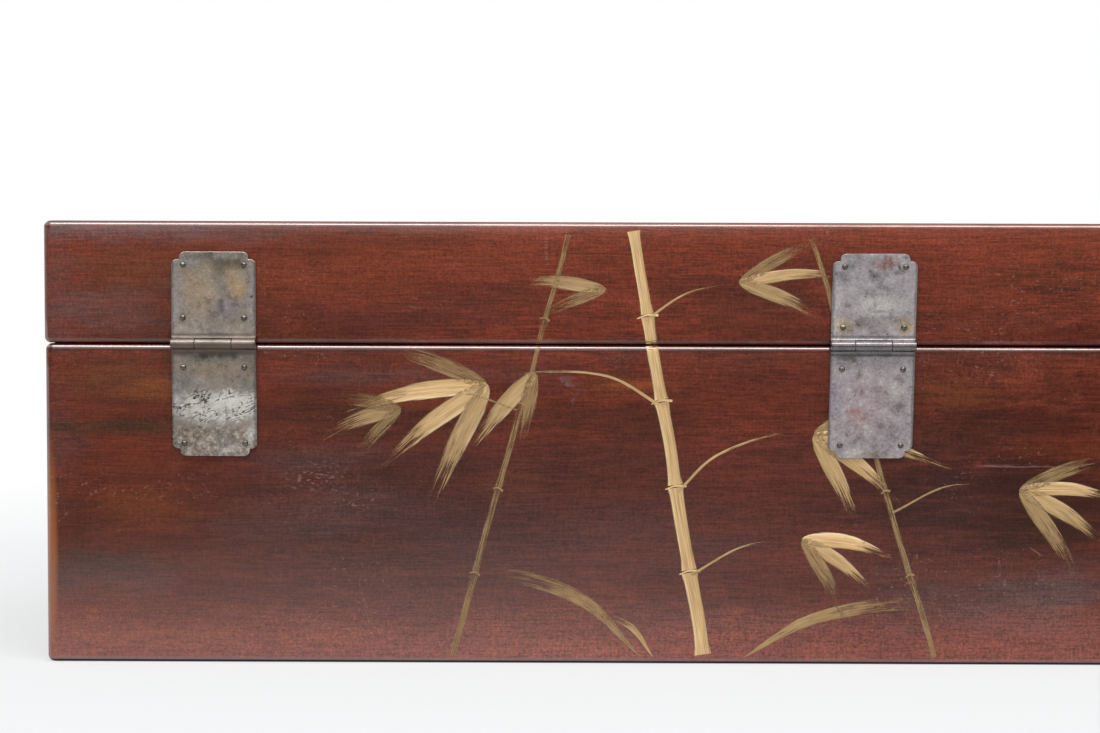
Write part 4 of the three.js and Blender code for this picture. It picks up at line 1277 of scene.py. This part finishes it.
def gold_on(skin, brush, finish, body, low_z, high_z):
    """The strokes between two heights, laid on a leather skin a hair's breadth proud of it."""
    work = bmesh.new()
    layers = [work.verts.layers.float.new(name) for name in brush_layers]
    for at, carried in zip(brush.points, brush.carried):
        vert = work.verts.new((at.x * mm, 0, at.y * mm))
        for layer, given in zip(layers, carried):
            vert[layer] = given
    work.verts.ensure_lookup_table()
    for face in brush.faces:
        work.faces.new([work.verts[i] for i in face])
    for height, clear_up in ((high_z, True), (low_z, False)):
        everything = work.verts[:] + work.edges[:] + work.faces[:]
        bmesh.ops.bisect_plane(
            work,
            geom=everything,
            plane_co=(0, 0, height),
            plane_no=(0, 0, 1),
            clear_outer=clear_up,
            clear_inner=not clear_up,
        )
    tree = BVHTree.FromObject(skin, bpy.context.evaluated_depsgraph_get())
    proud = 0.05 * mm
    for vert in work.verts:
        hit, normal, _, _ = tree.ray_cast(Vector((vert.co.x, back_y - 1, vert.co.z)), Vector((0, 1, 0)))
        vert.co = hit + normal * math.copysign(proud, -normal.y)
    mesh = bpy.data.meshes.new(f"{body}_gold")
    work.to_mesh(mesh)
    work.free()
    for face in mesh.polygons:
        face.use_smooth = True
    return add_object(f"{body}_gold_brushwork", mesh, finish, body)


# Studio

white = colour(1, 1, 1)
near_white = colour(0.955, 0.965, 0.975)
floor_grey = colour(0.62, 0.625, 0.63)


def seen_directly(f):
    """1 for the rays that show the surroundings: to the camera, or by way of gloss or glass."""
    kinds = ("Camera", "Glossy", "Transmission")
    camera, gloss, glass = [f.node("ShaderNodeLightPath", output=f"Is {kind} Ray") for kind in kinds]
    return camera, f.held(camera + gloss + glass)


def studio_floor():
    """A pale floor that keeps the box's shadow and runs off to white. In gloss it dims with distance."""
    reach = 6.0
    corners = [(x * reach, y * reach, 0) for x, y in ((-1, -1), (1, -1), (1, 1), (-1, 1))]
    mesh = mesh_of("studio_floor", corners, [(0, 1, 2, 3)], floor_smooth)
    floor = bpy.data.objects.new("studio_floor", mesh)
    bpy.context.scene.collection.objects.link(floor)
    material, f = new_finish("studio_floor")
    camera, seen = seen_directly(f)
    away = f.node("ShaderNodeVectorMath", {"operation": "LENGTH"}, {0: f.place()}, 1)
    tone = f.mix(near_white, white, f.ease(away, 0.55, 1.1))
    dim = camera + (1 - camera) * (0.04 + f.ease(f.along("Y"), -0.85, -0.22) * 0.96)
    lit = f.node("ShaderNodeBsdfDiffuse", None, {"Color": floor_grey})
    shown = f.node("ShaderNodeEmission", None, {"Color": f.shade(tone, dim), "Strength": 1.0})
    keep = f.ease(away, 0.5, 1.1) * 0.38 + 0.62
    f.done(f.node("ShaderNodeMixShader", None, {0: seen * keep, 1: lit, 2: shown}))
    floor.data.materials.append(material)


def studio_world():
    """White behind and above. Gloss and light see the room darker low down on the -Y side."""
    world = bpy.data.worlds.new("studio")
    bpy.context.scene.world = world
    world.use_nodes = True
    f = Finish(world.node_tree)
    direction = f.node("ShaderNodeTexCoord", output="Generated")
    up, ahead = f.part_of(direction, "Z"), f.part_of(direction, "Y")
    camera, seen = seen_directly(f)
    room = 0.03 + f.ease(up + ahead * 0.5, -0.15, 0.70) * 0.97
    soft = 0.20 + f.ease(up, 0.10, 0.75) * 0.40
    level = camera + (1 - camera) * (seen * room + (1 - seen) * soft)
    background = f.node("ShaderNodeBackground", None, {"Color": white, "Strength": level})
    f.node("ShaderNodeOutputWorld", None, {"Surface": background})


# Lamps as name, place, aim, length, breadth and power
lamps = [
    ("key", (0, -0.85, 1.75), (0, -0.19, 0.2), 2.8, 0.45, 36),
    ("fill_back", (-0.3, -2.4, 1.4), (0, 0, 0.1), 3.2, 2.0, 24),
    ("fill_front", (0.3, 2.2, 1.5), (0, 0, 0.1), 1.6, 1.0, 34),
]


def studio_lamp(name, place, aim, size_x, size_y, power):
    lamp = bpy.data.lights.new(name, "AREA")
    lamp.shape = "RECTANGLE"
    lamp.size, lamp.size_y = size_x, size_y
    lamp.energy = power
    holder = bpy.data.objects.new(name, lamp)
    bpy.context.scene.collection.objects.link(holder)
    holder.location = place
    holder.rotation_euler = (Vector(aim) - Vector(place)).to_track_quat("-Z", "Y").to_euler()


def photo_camera():
    """Looks along +Y at the hinged back, from where the photograph was taken."""
    data = bpy.data.cameras.new("photo_camera")
    data.sensor_width = sensor_width * 1000
    data.lens = data.sensor_width * camera_distance / (photo_width * metres_per_pixel)
    camera = bpy.data.objects.new("photo_camera", data)
    bpy.context.scene.collection.objects.link(camera)
    camera.location = (base_low.x + camera_from_left_end, back_y - camera_distance, camera_height)
    turned = Euler((0, 0, camera_yaw)).to_matrix()
    tilted = Euler((math.pi / 2 - camera_pitch, 0, 0)).to_matrix()
    rolled = Euler((0, 0, camera_roll)).to_matrix()
    camera.rotation_euler = (turned @ tilted @ rolled).to_euler()
    bpy.context.scene.camera = camera


# Dressing the frame

leaf_arris = 0.40 * mm
hasp_arris = 0.25 * mm
eye_arris = 0.45 * mm
lip_arris = 0.4 * mm


def dress():
    leather, wood, paper = leather_finish(), wood_finish(), paper_finish()
    gold, nails = gold_finish(), nail_finish()
    hinge_metals = hinge_finishes()
    fittings = metal_finish("fitting_metal", aged_grey, warm_grey, hasp_tints(), 0.9, 0.5)

    base_skin, lid_skin = base_leather(leather), lid_leather(leather)
    repaint("base_bottom_leather", leather)
    brush = paint_bamboo()
    off_foot, off_seam, off_top = 2 * mm, 0.35 * mm, 0.6 * mm
    gold_on(base_skin, brush, gold, "base", off_foot, rim_z - off_seam)
    gold_on(lid_skin, brush, gold, "lid", lid_rim_z + off_seam, lid_top_z - off_top)

    for name in hinge_names:
        for part, body in (("upper", "lid"), ("lower", "base")):
            eased(f"{name}_{part}_leaf", hinge_metals[name], leaf_arris)
            for i in range(1, 5):
                nail_head(f"{name}_{part}_nail_{i}", nails, body)
        repaint(f"{name}_pin", hinge_metals[name])
    for node in ("hasp_leaf", "hasp", "lock_lug_left", "lock_lug_right"):
        eased(node, fittings, hasp_arris)
    repaint("hasp_pin", fittings)
    for side in ("left", "right"):
        bail(side, fittings)
        for place in ("back", "front"):
            eased(f"handle_{side}_eye_pin_{place}", fittings, eye_arris)
    for node in ("base_lining", "lid_lining"):
        repaint(node, paper)
    for node in frame["nodes"]:
        if node.endswith("_board"):
            repaint(node, wood)
    eased("base_lip_frame", wood, lip_arris)


def repaint(node, finish):
    slots = frame["nodes"][node].data.materials
    slots.clear()
    slots.append(finish)


photo_camera()
studio_floor()
studio_world()
for lamp in lamps:
    studio_lamp(*lamp)
dress()

view = bpy.context.scene.view_settings
view.view_transform = "Standard"
